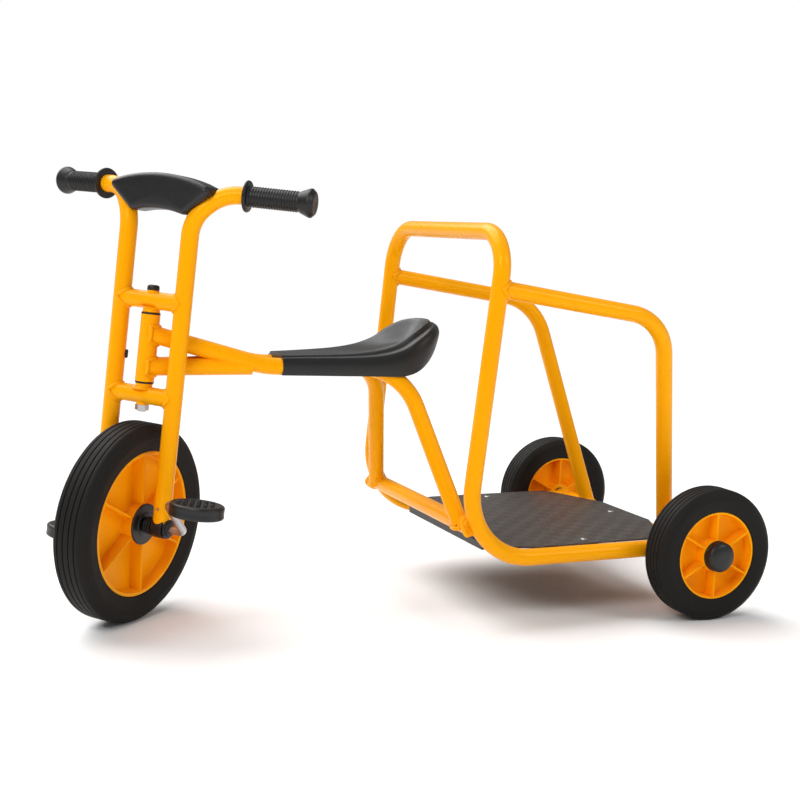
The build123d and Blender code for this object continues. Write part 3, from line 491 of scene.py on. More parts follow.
def makeCopiesTree():
    # one piece set at every point, turned as the point says
    tree, given, out = newTree("setAtPoints", [
        ("Piece", "NodeSocketObject", None), ("Material", "NodeSocketMaterial", None)])
    info = tree.nodes.new("GeometryNodeObjectInfo")
    turn = tree.nodes.new("GeometryNodeInputNamedAttribute")
    turn.data_type = "FLOAT_VECTOR"
    turn.inputs["Name"].default_value = "turn"
    toTurn = tree.nodes.new("FunctionNodeEulerToRotation")
    copies = tree.nodes.new("GeometryNodeInstanceOnPoints")
    link = tree.links.new
    link(given.outputs["Piece"], info.inputs["Object"])
    link(turn.outputs["Attribute"], toTurn.inputs[0])
    link(given.outputs["Geometry"], copies.inputs["Points"])
    link(info.outputs["Geometry"], copies.inputs["Instance"])
    link(toTurn.outputs[0], copies.inputs["Rotation"])
    return endTree(tree, given, out, copies.outputs[0])


def makeRingsTree():
    # a sleeve with a row of rings along its z axis
    tree, given, out = newTree("ringedSleeve", [
        ("Ring Radius", "NodeSocketFloat", 0.0143), ("Bead Radius", "NodeSocketFloat", 0.001),
        ("First", "NodeSocketFloat", 0.009), ("Pitch", "NodeSocketFloat", 0.004),
        ("Count", "NodeSocketInt", 17), ("Material", "NodeSocketMaterial", None)])
    ring = tree.nodes.new("GeometryNodeCurvePrimitiveCircle")
    ring.inputs["Resolution"].default_value = 64
    bead = tree.nodes.new("GeometryNodeCurvePrimitiveCircle")
    bead.inputs["Resolution"].default_value = 10
    sweep = tree.nodes.new("GeometryNodeCurveToMesh")
    row = tree.nodes.new("GeometryNodeMeshLine")
    start = tree.nodes.new("ShaderNodeCombineXYZ")
    step = tree.nodes.new("ShaderNodeCombineXYZ")
    copies = tree.nodes.new("GeometryNodeInstanceOnPoints")
    joined = tree.nodes.new("GeometryNodeJoinGeometry")
    link = tree.links.new
    link(given.outputs["Ring Radius"], ring.inputs["Radius"])
    link(given.outputs["Bead Radius"], bead.inputs["Radius"])
    link(ring.outputs[0], sweep.inputs["Curve"])
    link(bead.outputs[0], sweep.inputs["Profile Curve"])
    link(given.outputs["First"], start.inputs["Z"])
    link(given.outputs["Pitch"], step.inputs["Z"])
    link(given.outputs["Count"], row.inputs["Count"])
    link(start.outputs[0], row.inputs["Start Location"])
    link(step.outputs[0], row.inputs["Offset"])
    link(row.outputs[0], copies.inputs["Points"])
    link(sweep.outputs[0], copies.inputs["Instance"])
    link(given.outputs["Geometry"], joined.inputs[0])
    link(copies.outputs[0], joined.inputs[0])
    return endTree(tree, given, out, joined.outputs[0])


tubeTree = makeTubeTree()
copiesTree = makeCopiesTree()
ringsTree = makeRingsTree()


def grow(mesh, tree, **values):
    # run a tree on a mesh and keep the plain result
    carrier = bpy.data.objects.new("carrier", mesh)
    scene.collection.objects.link(carrier)
    modifier = carrier.modifiers.new("tree", "NODES")
    modifier.node_group = tree
    for item in tree.interface.items_tree:
        label = item.name.replace(" ", "")
        if item.in_out == "INPUT" and label in values:
            modifier[item.identifier] = values[label]
    carrier.update_tag()
    depsgraph = bpy.context.evaluated_depsgraph_get()
    result = bpy.data.meshes.new_from_object(carrier.evaluated_get(depsgraph))
    bpy.data.objects.remove(carrier)
    for attribute in [a for a in result.attributes if a.name in ("bend", "turn")]:
        result.attributes.remove(attribute)
    return result


def mendFaces(mesh, sharpAngle=40):
    shape = bmesh.new()
    shape.from_mesh(mesh)
    bmesh.ops.remove_doubles(shape, verts=shape.verts, dist=1e-6)
    bmesh.ops.dissolve_degenerate(shape, edges=shape.edges, dist=1e-7)
    bmesh.ops.recalc_face_normals(shape, faces=shape.faces)
    shape.to_mesh(mesh)
    shape.free()
    mesh.polygons.foreach_set("use_smooth", [True] * len(mesh.polygons))
    mesh.set_sharp_from_angle(angle=math.radians(sharpAngle))
    return mesh


def show(name, mesh, finish, body, *replaced, sharpAngle=40, mend=True):
    # hang a finished mesh on its body in place of the plain nodes
    if mend:
        mendFaces(mesh, sharpAngle)
    mesh.name = name
    mesh.materials.clear()
    mesh.materials.append(materials[finish])
    piece = bpy.data.objects.new(name, mesh)
    scene.collection.objects.link(piece)
    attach(piece, body)
    if replaced:
        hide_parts(*replaced)
    return piece


def chainMesh(chains, closed=False):
    # corner points joined by edges; each point is a place and the radius of its bend
    mesh = bpy.data.meshes.new("chain")
    points, edges, bends = [], [], []
    for chain in chains:
        start = len(points)
        for place, bend in chain:
            points.append(place)
            bends.append(bend)
        edges += [(i, i + 1) for i in range(start, len(points) - 1)]
        if closed:
            edges.append((len(points) - 1, start))
    mesh.from_pydata(points, edges, [])
    mesh.attributes.new("bend", "FLOAT", "POINT").data.foreach_set("value", bends)
    return mesh


def tubes(chains, radius, place=Matrix(), sides=48, closed=False, ripple=0.0):
    mesh = grow(chainMesh(chains, closed), tubeTree, TubeRadius=radius, Sides=sides, BendSteps=20,
                Ripple=ripple, Material=materials["framePaint"])
    mesh.transform(place)
    return mesh


def copiesAt(piece, spots):
    # spots are matrices; the piece is a mesh built at the origin
    holder = bpy.data.objects.new("pattern", piece)
    scene.collection.objects.link(holder)
    points = bpy.data.meshes.new("points")
    points.from_pydata([spot.translation for spot in spots], [], [])
    turns = [value for spot in spots for value in spot.to_euler()]
    points.attributes.new("turn", "FLOAT_VECTOR", "POINT").data.foreach_set("vector", turns)
    result = grow(points, copiesTree, Piece=holder, Material=materials["brightSteel"])
    bpy.data.objects.remove(holder)
    return result


def mirroredMesh(mesh):
    # the same mesh on the other side
    twin = mesh.copy()
    twin.transform(Matrix.Diagonal((1, -1, 1, 1)))
    twin.flip_normals()
    return twin


def showPair(name, mesh, finish, body, ending, **options):
    # a left piece in the fork's frame and its mirror image
    for word, piece in (("left", mesh), ("right", mirroredMesh(mesh))):
        piece.transform(forkPlace)
        show(word + name, piece, finish, body, word + ending, **options)


def joined(*meshes):
    shape = bmesh.new()
    for mesh in meshes:
        shape.from_mesh(mesh)
    result = bpy.data.meshes.new("joined")
    shape.to_mesh(result)
    shape.free()
    return result


# frame tubes, in millimetres from the rear axle line; each corner has its bend radius last
frameTubes = {
    "radius": 13.0,
    "axleTubeRadius": 12.5,
    "axleTubeHalf": 215.6,
    "railHeight": 105.0,
    "hoop": [(0, 195.5, 105, 0), (409, 195.5, 105, 105), (364, 206, 597.5, 65)],
    "crossbar": (396, 194, 156.5),
    "handrailShare": 0.8328,
    "handrail": [(83, 206, 471.8, 85), (-2.8, 120.6, 105, 0)],
    "mainRail": [(670, 22, 383.5, 170), (457.5, 52, 383.5, 88), (402.1, 167.3, 156.5, 0)],
    "railHead": (282.0, 6.0),
    "strutHead": (232.5, 6.0),
    "strutEnd": 690.0,
    "head": (211.0, 310.0, 14.0),
    "bead": 3.4,
    "beadRipple": 0.0009,
    "weldPoints": 40,
}


def bothSides(chain):
    return [chain, [(Vector((p.x, -p.y, p.z)), bend) for p, bend in chain]]


def corner(x, y, z, bend=0):
    return fromRear(x, y, z), bend * mm


def onHead(height, y=0.0):
    # a point beside the steering axis, in millimetres up that axis
    return headPlace @ Vector((0, y * mm, height * mm))


def weldLine(place, along, radius, other, otherAlong, otherRadius):
    # closed chain where a tube that comes along meets the skin of another tube
    along, otherAlong = along.normalized(), otherAlong.normalized()
    side = along.orthogonal().normalized()
    up = along.cross(side)
    count = frameTubes["weldPoints"]
    chain = []
    for i in range(count):
        turn = math.tau * i / count
        start = place + (side * math.cos(turn) + up * math.sin(turn)) * radius - other
        start -= along * 0.2
        flatStart = start - otherAlong * start.dot(otherAlong)
        flatAlong = along - otherAlong * along.dot(otherAlong)
        a = flatAlong.dot(flatAlong)
        b = flatStart.dot(flatAlong)
        c = flatStart.dot(flatStart) - otherRadius ** 2
        reach = (-b - math.sqrt(max(b * b - a * c, 0))) / a
        chain.append((other + start + along * reach, 0))
    return chain


def makeFrame():
    spec = frameTubes
    radius = spec["radius"] * mm
    hoop = [corner(*point) for point in spec["hoop"]]
    otherHalf = [(Vector((p.x, -p.y, p.z)), bend) for p, bend in reversed(hoop)]
    show("hoopTube", tubes([hoop + otherHalf], radius), "framePaint", "frame", "carrier_hoop")

    legFoot, legTop = hoop[1][0], hoop[2][0]
    legAlong = legTop - legFoot
    railStart = legFoot + legAlong * spec["handrailShare"]
    handrail = [(railStart, 0)] + [corner(*point) for point in spec["handrail"]]
    show("handrailTubes", tubes(bothSides(handrail), radius), "framePaint", "frame",
         "left_handrail", "right_handrail")

    x, half, z = spec["crossbar"]
    bar = [corner(x, -half, z), corner(x, half, z)]
    show("frontCrossbar", tubes([bar], radius), "framePaint", "frame", "front_crossbar")

    y, z = spec["axleTubeHalf"], spec["railHeight"]
    axle = [corner(0, -y, z), corner(0, y, z)]
    show("rearAxleTube", tubes([axle], spec["axleTubeRadius"] * mm), "framePaint", "frame", "rear_axle_tube")

    railHead = onHead(*spec["railHead"])
    mainRail = [(railHead, 0)] + [corner(*point) for point in spec["mainRail"]]
    show("mainRails", tubes(bothSides(mainRail), radius), "framePaint", "frame",
         "left_main_rail", "right_main_rail")

    strutHead = onHead(*spec["strutHead"])
    knee = mainRail[1][0]
    endX = fromRear(spec["strutEnd"], 0, 0).x
    share = (strutHead.x - endX) / (strutHead.x - knee.x)
    strutEnd = Vector((endX, strutHead.y + (knee.y - strutHead.y) * share, knee.z))
    strut = [(strutHead, 0), (strutEnd, 0)]
    show("lowerStruts", tubes(bothSides(strut), radius), "framePaint", "frame",
         "left_lower_strut", "right_lower_strut")

    low, high, headRadius = (value * mm for value in spec["head"])
    headTube = [(Vector((0, 0, low)), 0), (Vector((0, 0, high)), 0)]
    show("headTube", tubes([headTube], headRadius, headPlace), "framePaint", "frame", "head_tube")

    # welds
    footAlong = mainRail[3][0] - mainRail[2][0]
    footPlace = mainRail[3][0]
    hoopBend = spec["hoop"][1][3]
    bendX, bendZ = spec["hoop"][1][0] - hoopBend, spec["railHeight"] + hoopBend
    rise = spec["crossbar"][2] - bendZ
    hoopX = bendX + math.sqrt(hoopBend ** 2 - rise ** 2)
    hoopAtBar = fromRear(hoopX, spec["hoop"][0][1], spec["crossbar"][2])
    hoopAlong = Vector((-rise, 0, hoopAtBar.x / mm - rearAxle.x / mm - bendX))
    across = Vector((0, 1, 0))
    axleRadius = spec["axleTubeRadius"] * mm
    lines = [
        weldLine(bar[1][0], across, radius, hoopAtBar, hoopAlong, radius),
        weldLine(railStart, handrail[0][0] - handrail[1][0], radius, railStart, legAlong, radius),
        weldLine(handrail[2][0], handrail[2][0] - handrail[1][0], radius, rearAxle, across, axleRadius),
        weldLine(hoop[0][0], Vector((-1, 0, 0)), radius, rearAxle, across, axleRadius),
        weldLine(footPlace, footAlong, radius, bar[0][0], across, radius),
        weldLine(railHead, railHead - mainRail[1][0], radius, onHead(0), steerAxis, headRadius),
        weldLine(strutHead, strutHead - strutEnd, radius, onHead(0), steerAxis, headRadius),
    ]
    beads = []
    for line in lines:
        beads += bothSides(line)
    mesh = tubes(beads, spec["bead"] * mm, sides=14, closed=True, ripple=spec["beadRipple"])
    show("frameWelds", mesh, "framePaint", "frame")


makeFrame()
print("frame made")


# fork and handlebar, in millimetres in the fork's own frame
forkTubes = {
    "radius": 13.0,
    "legY": 54.3,
    "legFoot": 7.5,
    "firstBend": (0, 54.3, 456.0, 60),
    "secondBend": (-21.9, 90.3, 495.3, 60),
    "gripStart": 122.8,
    "gripSweep": 13.6,
    "gripLength": 104.0,
    "barShort": 4.0,
    "crossbars": (190.5, 330.5),
    "collarTips": (208.1, 312.9),
    "collarRadii": (13.5, 11.6),
    "bead": 3.2,
}


def sweepAlong():
    turn = math.radians(forkTubes["gripSweep"])
    return Vector((-math.sin(turn), math.cos(turn), 0))


def makeFork():
    spec = forkTubes
    radius = spec["radius"] * mm
    legY = spec["legY"] * mm
    second = Vector(spec["secondBend"][:3]) * mm
    toGrip = (spec["gripStart"] * mm - second.y) / sweepAlong().y
    reach = toGrip + (spec["gripLength"] - spec["barShort"]) * mm
    leg = [
        (Vector((0, legY, spec["legFoot"] * mm)), 0),
        (Vector(spec["firstBend"][:3]) * mm, spec["firstBend"][3] * mm),
        (second, spec["secondBend"][3] * mm),
        (second + sweepAlong() * reach, 0),
    ]
    show("forkTubes", tubes(bothSides(leg), radius, forkPlace), "framePaint", "fork",
         "left_fork_tube", "right_fork_tube")
    bars, lines = [], []
    for height in spec["crossbars"]:
        level = Vector((0, 0, height * mm))
        end = level + Vector((0, legY, 0))
        bars.append([(level - Vector((0, legY, 0)), 0), (end, 0)])
        lines += bothSides(weldLine(end, Vector((0, 1, 0)), radius, end, Vector((0, 0, 1)), radius))
    bars = tubes(bars, radius, forkPlace)
    collars = []
    for height, tip in zip(spec["crossbars"], spec["collarTips"]):
        wide, narrow = (value * mm for value in spec["collarRadii"])
        side = 1 if tip > height else -1
        root = height + side * 9
        profile = [(0, root * mm, 0), (wide + 0.004, root * mm, 0), (narrow, (root + side * 4) * mm, 0.002),
                   (wide, tip * mm, 0.001), (0, tip * mm, 0)]
        collar = turned(profile, 56)
        collar.transform(forkPlace)
        collars.append(collar)
    show("forkCrossbars", joined(bars, *collars), "framePaint", "fork", "upper_crossbar", "lower_crossbar")
    beads = tubes(lines, spec["bead"] * mm, forkPlace, sides=14, closed=True, ripple=frameTubes["beadRipple"])
    show("forkWelds", beads, "framePaint", "fork")


def roundedOutline(points, closed=False, steps=5):
    # flat outline whose corners are arcs: each point is two distances and a corner radius
    result = []
    count = len(points)
    for i, (u, v, radius) in enumerate(points):
        here = Vector((u, v))
        if radius <= 0 or (not closed and i in (0, count - 1)):
            result.append(here)
            continue
        before = (Vector(points[i - 1][:2]) - here)
        after = (Vector(points[(i + 1) % count][:2]) - here)
        half = before.angle(after) / 2
        if half > math.radians(89):
            result.append(here)
            continue
        reach = min(radius / math.tan(half), before.length * 0.49, after.length * 0.49)
        radius = reach * math.tan(half)
        first, last = here + before.normalized() * reach, here + after.normalized() * reach
        centre = here + (before.normalized() + after.normalized()).normalized() * (radius / math.sin(half))
        start, end = first - centre, last - centre
        turn = start.angle_signed(end)
        for step in range(steps + 1):
            angle = -turn * step / steps
            result.append(centre + Vector((start.x * math.cos(angle) - start.y * math.sin(angle),
                                           start.x * math.sin(angle) + start.y * math.cos(angle))))
    return result


def inMetres(profile):
    return [(r * mm, z * mm, bend * mm) for r, z, bend in profile]


def turned(profile, sides, closed=False, steps=5):
    # a round piece about its z axis from an outline of (radius, height, corner radius)
    outline = roundedOutline(profile, closed, steps)
    points, faces = [], []
    for side in range(sides):
        turn = math.tau * side / sides
        points += [(p.x * math.cos(turn), p.x * math.sin(turn), p.y) for p in outline]
    count = len(outline)
    for side in range(sides):
        here, there = side * count, (side + 1) % sides * count
        for i in range(count if closed else count - 1):
            j = (i + 1) % count
            faces.append((here + i, there + i, there + j, here + j))
    mesh = bpy.data.meshes.new("turned")
    mesh.from_pydata(points, [], faces)
    return mendFaces(mesh)


makeFork()
print("fork made")


# wheels: sizes in millimetres, about the axle
wheelShapes = {
    "front": {"outer": 150.0, "half": 29.5, "seat": 109.5, "face": 23.4, "tread": 19.0, "hub": (30.0, 30.0),
              "lip": 6.0, "phase": -6.5, "bore": 6.0},
    "rear": {"outer": 105.0, "half": 28.0, "seat": 69.5, "face": 24.0, "tread": 18.0, "hub": (26.0, 20.0),
             "lip": 4.0, "phase": 0.0, "bore": 9.0},
    "ribs": 6,
    "ribThick": (3.0, 4.6),
    "webHalf": 2.5,
    "grooves": 4,
    "grooveWidth": 2.0,
    "grooveDepth": 2.0,
}

# the turned pieces stand on z; this lays z along y, the axle
layOnAxle = Matrix.Rotation(math.radians(-90), 4, "X")


def tyreProfile(shape):
    outer, half, seat, face, tread = (shape[key] for key in ("outer", "half", "seat", "face", "tread"))
    wall = (outer + seat) / 2
    side = [(seat, face, 0.6), (seat + 1.4, face + 1.6, 0.8), (seat + 4.5, face + 2.2, 1.5),
            (wall, half, 12), (outer - 10, half - 0.3, 8), (outer - 0.6, tread + 1.5, 6)]
    spacing = 2 * tread / wheelShapes["grooves"]
    width, depth = wheelShapes["grooveWidth"] / 2, wheelShapes["grooveDepth"]
    row = []
    for i in range(wheelShapes["grooves"]):
        middle = tread - spacing * (i + 0.5)
        row += [(outer, middle + width, 0.5), (outer - depth, middle + width * 0.5, 0.4),
                (outer - depth, middle - width * 0.5, 0.4), (outer, middle - width, 0.5)]
    other = [(r, -z, bend) for r, z, bend in reversed(side)]
    return [(r * mm, z * mm, bend * mm) for r, z, bend in side + row + other]


def ribMesh(shape):
    # one rib from hub to lip, a little thinner at its free edges, rounded all along
    face = shape["face"] - 1.0
    thin, thick = (value / 2 for value in wheelShapes["ribThick"])
    first, last = min(shape["hub"]) - 3, shape["seat"] - shape["lip"] / 2
    section = [(-thin, face, 1.2), (thin, face, 1.2), (thick, 0, 0), (thin, -face, 1.2), (-thin, -face, 1.2),
               (-thick, 0, 0)]
    outline = roundedOutline(section, closed=True, steps=4)
    points = [(r * mm, p.x * mm, p.y * mm) for r in (first, last) for p in outline]
    count = len(outline)
    faces = [(i, (i + 1) % count, (i + 1) % count + count, i + count) for i in range(count)]
    faces += [tuple(range(count)), tuple(range(count, 2 * count))]
    mesh = bpy.data.meshes.new("rib")
    mesh.from_pydata(points, [], faces)
    return mendFaces(mesh)


def rimMesh(shape):
    face, seat, bore, web = shape["face"], shape["seat"], shape["bore"], wheelShapes["webHalf"]
    outerHub, innerHub = shape["hub"]
    lip = seat - shape["lip"]
    profile = [(bore, face, 0.6), (outerHub - 0.4, face, 1.2), (outerHub, web, 3.5), (lip, web, 4),
               (lip + 0.8, face, 1.0), (seat, face, 1.0), (seat, -face, 1.0), (lip + 0.8, -face, 1.0),
               (lip, -web, 4), (innerHub, -web, 3.5), (innerHub - 0.4, -face, 1.2), (bore, -face, 0.6)]
    body = turned(inMetres(profile), 128, closed=True)
    spots = []
    for i in range(wheelShapes["ribs"]):
        turn = math.radians(90 - shape["phase"] + 360 * i / wheelShapes["ribs"])
        spots.append(Matrix.Rotation(turn, 4, "Z"))
    ribs = copiesAt(ribMesh(shape), spots)
    return joined(body, ribs)


def makeWheel(shape, place, tyreName, rimName, body, *replaced):
    tyre = turned(tyreProfile(shape), 144, closed=True, steps=4)
    tyre.transform(place)
    show(tyreName, tyre, "tyreRubber", body, replaced[0])
    rim = rimMesh(shape)
    rim.transform(place)
    show(rimName, rim, "rimPlastic", body, replaced[1])


def rearPlace(side):
    # left wheel on the axle, or the same wheel turned to face right
    turn = layOnAxle if side > 0 else Matrix.Diagonal((1, -1, 1, 1)) @ layOnAxle
    return Matrix.Translation(rearAxle + Vector((0, side * rearWheelY, 0))) @ turn


def makeWheels():
    makeWheel(wheelShapes["front"], forkPlace @ layOnAxle, "frontTyre", "frontRim", "front_wheel",
              "front_tyre", "front_rim")
    for word, side in (("left", 1), ("right", -1)):
        makeWheel(wheelShapes["rear"], rearPlace(side), word + "RearTyre", word + "RearRim",
                  word + "_rear_wheel", word + "_rear_tyre", word + "_rear_rim")


makeWheels()
print("wheels made")


# rear hub caps: a dome with a shallow ring round its foot
hubCap = {"radius": 24.5, "dome": 6.5, "foot": 3.0, "ringStep": 0.8, "bore": 6.0}


def makeHubCaps():
    low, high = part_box("left_rear_hub_cap")
    foot = low.y - rearWheelY
    height = high.y - low.y
    radius, dome = hubCap["radius"] * mm, hubCap["dome"] * mm
    ring, step = hubCap["foot"] * mm, hubCap["ringStep"] * mm
    profile = [(hubCap["bore"] * mm, foot, 0), (radius, foot, 0.0005), (radius, foot + ring, 0.0006),
               (radius - step, foot + ring + step, 0.0006), (radius - step, foot + height - dome, 0.004),
               (radius * 0.80, foot + height - dome * 0.34, 0.012),
               (radius * 0.45, foot + height - dome * 0.06, 0.02),
               (0, foot + height, 0)]
    for word, side in (("left", 1), ("right", -1)):
        mesh = turned(profile, 72, steps=6)
        mesh.transform(rearPlace(side))
        show(word + "HubCap", mesh, "blackPlastic", word + "_rear_wheel", word + "_rear_hub_cap",
             sharpAngle=60)


makeHubCaps()


# grips: ribbed sleeve with a broad inner flange and a flared end, in millimetres along the bar
gripShape = {
    "core": 14.4, "flange": 23.3, "flangeThick": 5.0, "flare": 21.0, "length": 104.0,
    "ribStart": 8.6, "ribPitch": 4.0, "ribCount": 18, "ribBead": 1.05, "ribRing": 14.25,
}


def makeGrips():
    spec = gripShape
    core, flange, thick = spec["core"], spec["flange"], spec["flangeThick"]
    flare, length = spec["flare"], spec["length"]
    profile = [(13.0, 0, 0), (flange - 1, 0, 1.0), (flange, thick * 0.5, 1.6), (flange - 1.4, thick, 1.6),
               (core + 1.5, thick + 0.6, 1.5), (core, thick + 3, 1.0), (core, length - 23, 3.0),
               (core + 1.6, length - 21, 4.0), (flare, length - 8.5, 3.0), (flare, length - 5.5, 2.5),
               (flare - 5, length - 0.3, 4.0), (6, length - 0.1, 2), (0, length - 0.9, 0)]
    sleeve = turned(inMetres(profile), 80, steps=5)
    mesh = grow(sleeve, ringsTree, RingRadius=spec["ribRing"] * mm, BeadRadius=spec["ribBead"] * mm,
                First=spec["ribStart"] * mm, Pitch=spec["ribPitch"] * mm, Count=spec["ribCount"],
                Material=materials["gripRubber"])
    second = Vector(forkTubes["secondBend"][:3]) * mm
    along = sweepAlong()
    start = second + along * ((forkTubes["gripStart"] * mm - second.y) / along.y)
    across = Vector((0, 0, 1)).cross(along)
    lie = Matrix.Translation(start) @ Matrix((across.cross(along) * -1, across, along)).transposed().to_4x4()
    mesh.transform(lie)
    showPair("Grip", mesh, "gripRubber", "fork", "_grip", sharpAngle=50)


makeGrips()


# handlebar pad: arched below, crowned above, soft edges; millimetres in the fork's frame
padShape = {
    "tip": (93.0, 498.0), "crown": 516.0, "foot": (46.0, 458.0), "arch": 464.0,
    "front": 15.0, "depth": 42.0, "round": 8.0, "bulge": 2.0, "middle": 486.0,
}


def arcPoints(first, middle, last, count):
    # points on the circle through three places
    a, b, c = Vector(first), Vector(middle), Vector(last)
    d = 2 * (a.x * (b.y - c.y) + b.x * (c.y - a.y) + c.x * (a.y - b.y))
    aa, bb, cc = (p.length_squared for p in (a, b, c))
    centre = Vector((
        (aa * (b.y - c.y) + bb * (c.y - a.y) + cc * (a.y - b.y)) / d,
        (aa * (c.x - b.x) + bb * (a.x - c.x) + cc * (b.x - a.x)) / d))
    radius = (a - centre).length
    start, end = (math.atan2(p.y - centre.y, p.x - centre.x) for p in (a, c))
    return [centre + Vector((math.cos(start + (end - start) * i / count),
                             math.sin(start + (end - start) * i / count))) * radius for i in range(count + 1)]


def padOutline():
    spec = padShape
    tipY, tipZ = spec["tip"]
    footY, footZ = spec["foot"]
    top = arcPoints((-tipY, tipZ), (0, spec["crown"]), (tipY, tipZ), 40)
    below = arcPoints((footY, footZ), (0, spec["arch"]), (-footY, footZ), 24)
    loop = [(-tipY, tipZ, 9)] + [(p.x, p.y, 0) for p in top[6:-6]] + [(tipY, tipZ, 9)]
    loop += [((tipY + footY) / 2 + 1.5, (tipZ + footZ) / 2 + 1, 30)]
    loop += [(footY, footZ, 10)] + [(p.x, p.y, 0) for p in below[5:-5]] + [(-footY, footZ, 10)]
    loop += [(-(tipY + footY) / 2 - 1.5, (tipZ + footZ) / 2 + 1, 30)]
    return roundedOutline(loop, closed=True, steps=6)


def makePad():
    spec = padShape
    outline = padOutline()
    centre = Vector((0, spec["middle"]))
    count = len(outline)
    inward = []
    for i, p in enumerate(outline):
        along = (outline[(i + 1) % count] - outline[i - 1]).normalized()
        inward.append(Vector((along.y, -along.x)))
    layers = []
    steps = 7
    back = spec["front"] - spec["depth"]
    for side, face in ((1, spec["front"]), (-1, back)):
        ring = []
        for step in range(steps + 1):
            angle = math.pi / 2 * step / steps
            inset = spec["round"] * (1 - math.cos(angle))
            out = face - side * spec["round"] * (1 - math.sin(angle))
            ring.append([(out, p + n * inset) for p, n in zip(outline, inward)])
        for share in (0.85, 0.65, 0.45, 0.25, 0.1):
            lift = side * spec["bulge"] * (1 - share ** 2) * 0.5
            ring.append([(face + lift, centre + (p + n * spec["round"] - centre) * share)
                         for p, n in zip(outline, inward)])
        layers.append(ring)
    rows = layers[1][::-1] + layers[0]
    points = [(x * mm, p.x * mm, p.y * mm) for row in rows for x, p in row]
    faces = []
    for j in range(len(rows) - 1):
        for i in range(count):
            a, b = j * count + i, j * count + (i + 1) % count
            faces.append((a, b, b + count, a + count))
    for row, lift in ((0, back - spec["bulge"] * 0.5), (len(rows) - 1, spec["front"] + spec["bulge"] * 0.5)):
        points.append((lift * mm, centre.x * mm, centre.y * mm))
        for i in range(count):
            faces.append((row * count + i, row * count + (i + 1) % count, len(points) - 1))
    mesh = bpy.data.meshes.new("pad")
    mesh.from_pydata(points, [], faces)
    mesh.transform(forkPlace)
    show("handlebarPad", mesh, "blackPlastic", "fork", "handlebar_pad", sharpAngle=55)


makePad()
print("grips and pad made")


# saddle: stations from the nose to the middle of the back, in millimetres from the rear axle line
# each: outline x and y, spine x, centre height, then share of width and height for the rest of the section
saddleShape = {
    "stations": [
        (646, 39.0, 646, 403.0, (0.66, 402.0), (0.81, 397.6), (0.925, 396.8), 386, (0.97, 371)),
        (600, 48.4, 600, 403.5, (0.67, 403.2), (0.815, 398.6), (0.93, 397.8), 386, (0.97, 371)),
        (540, 61.5, 540, 404.0, (0.68, 406.0), (0.82, 400.4), (0.93, 399.4), 387, (0.97, 371)),
        (496, 71.3, 496, 406.0, (0.68, 412.0), (0.82, 404.6), (0.93, 403.2), 389, (0.97, 371)),
        (463, 78.0, 470, 409.5, (0.67, 422.0), (0.81, 413.6), (0.925, 412.4), 394, (0.965, 371.5)),
        (436, 77.5, 455, 413.0, (0.68, 436.5), (0.81, 429.0), (0.92, 427.4), 407, (0.94, 379)),
        (410, 66.0, 447, 415.0, (0.70, 448.0), (0.81, 442.0), (0.91, 441.0), 422, (0.90, 394)),
        (391, 43.0, 445, 415.0, (0.72, 453.0), (0.82, 448.6), (0.91, 447.6), 433, (0.86, 406)),
        (383.5, 20.0, 445, 415.0, (0.74, 454.5), (0.83, 451.0), (0.91, 450.0), 437, (0.84, 411)),
        (382.0, 0.0, 445, 415.0, (0.74, 454.8), (0.83, 451.5), (0.91, 450.4), 438, (0.84, 412)),
    ],
    "wall": 5.5,
    "steps": 7,
}


def smoothRow(rows, steps):
    # cubic through every row of numbers, evenly stepped
    count = len(rows)
    result = []
    for i in range(count - 1):
        a, b, c, d = rows[max(i - 1, 0)], rows[i], rows[i + 1], rows[min(i + 2, count - 1)]
        for step in range(steps):
            t = step / steps
            result.append(tuple(
                0.5 * ((2 * q) + (r - p) * t + (2 * p - 5 * q + 4 * r - s) * t * t
                       + (3 * q - p - 3 * r + s) * t ** 3)
                for p, q, r, s in zip(a, b, c, d)))
    result.append(tuple(rows[-1]))
    return result


def saddleSection(station):
    # outer skin from the spine to the skirt's foot, then the same number of points back inside
    x, y, spineX, centre, edgeShare, edge, dipShare, dip, rollShare, roll, widest, footShare, foot = station
    reach = Vector((x - spineX, y))
    outer = [(0, centre), (edgeShare * 0.35, centre + (edge - centre) * 0.10),
             (edgeShare * 0.75, centre + (edge - centre) * 0.62),
             (edgeShare, edge), ((edgeShare + dipShare) / 2 + 0.01, edge - (edge - dip) * 0.35),
             (dipShare, dip),
             ((dipShare + rollShare) / 2 + 0.005, (dip + roll) / 2 + 0.3), (rollShare, roll),
             (0.975, roll - (roll - widest) * 0.34),
             (1.0, widest), ((1 + footShare) / 2 + 0.008, foot + (widest - foot) * 0.34), (footShare, foot)]
    outer = smoothRow(outer, 4)
    wall = saddleShape["wall"] / max(reach.length, 1)
    inside = []
    for i, (share, z) in enumerate(outer):
        last = i / (len(outer) - 1)
        ceiling = min(z, centre, dip) - saddleShape["wall"]
        if last < 0.62:
            inside.append((min(share, dipShare) * (1 - wall), ceiling))
        else:
            down = (last - 0.62) / 0.38
            innerShare = dipShare + (footShare - dipShare) * down - wall
            inside.append((innerShare, ceiling + (foot + 0.4 - ceiling) * down ** 1.5))
    place = lambda share, z: fromRear(spineX + reach.x * share, reach.y * share, z)
    return [place(*p) for p in outer] + [place(*p) for p in reversed(inside)]


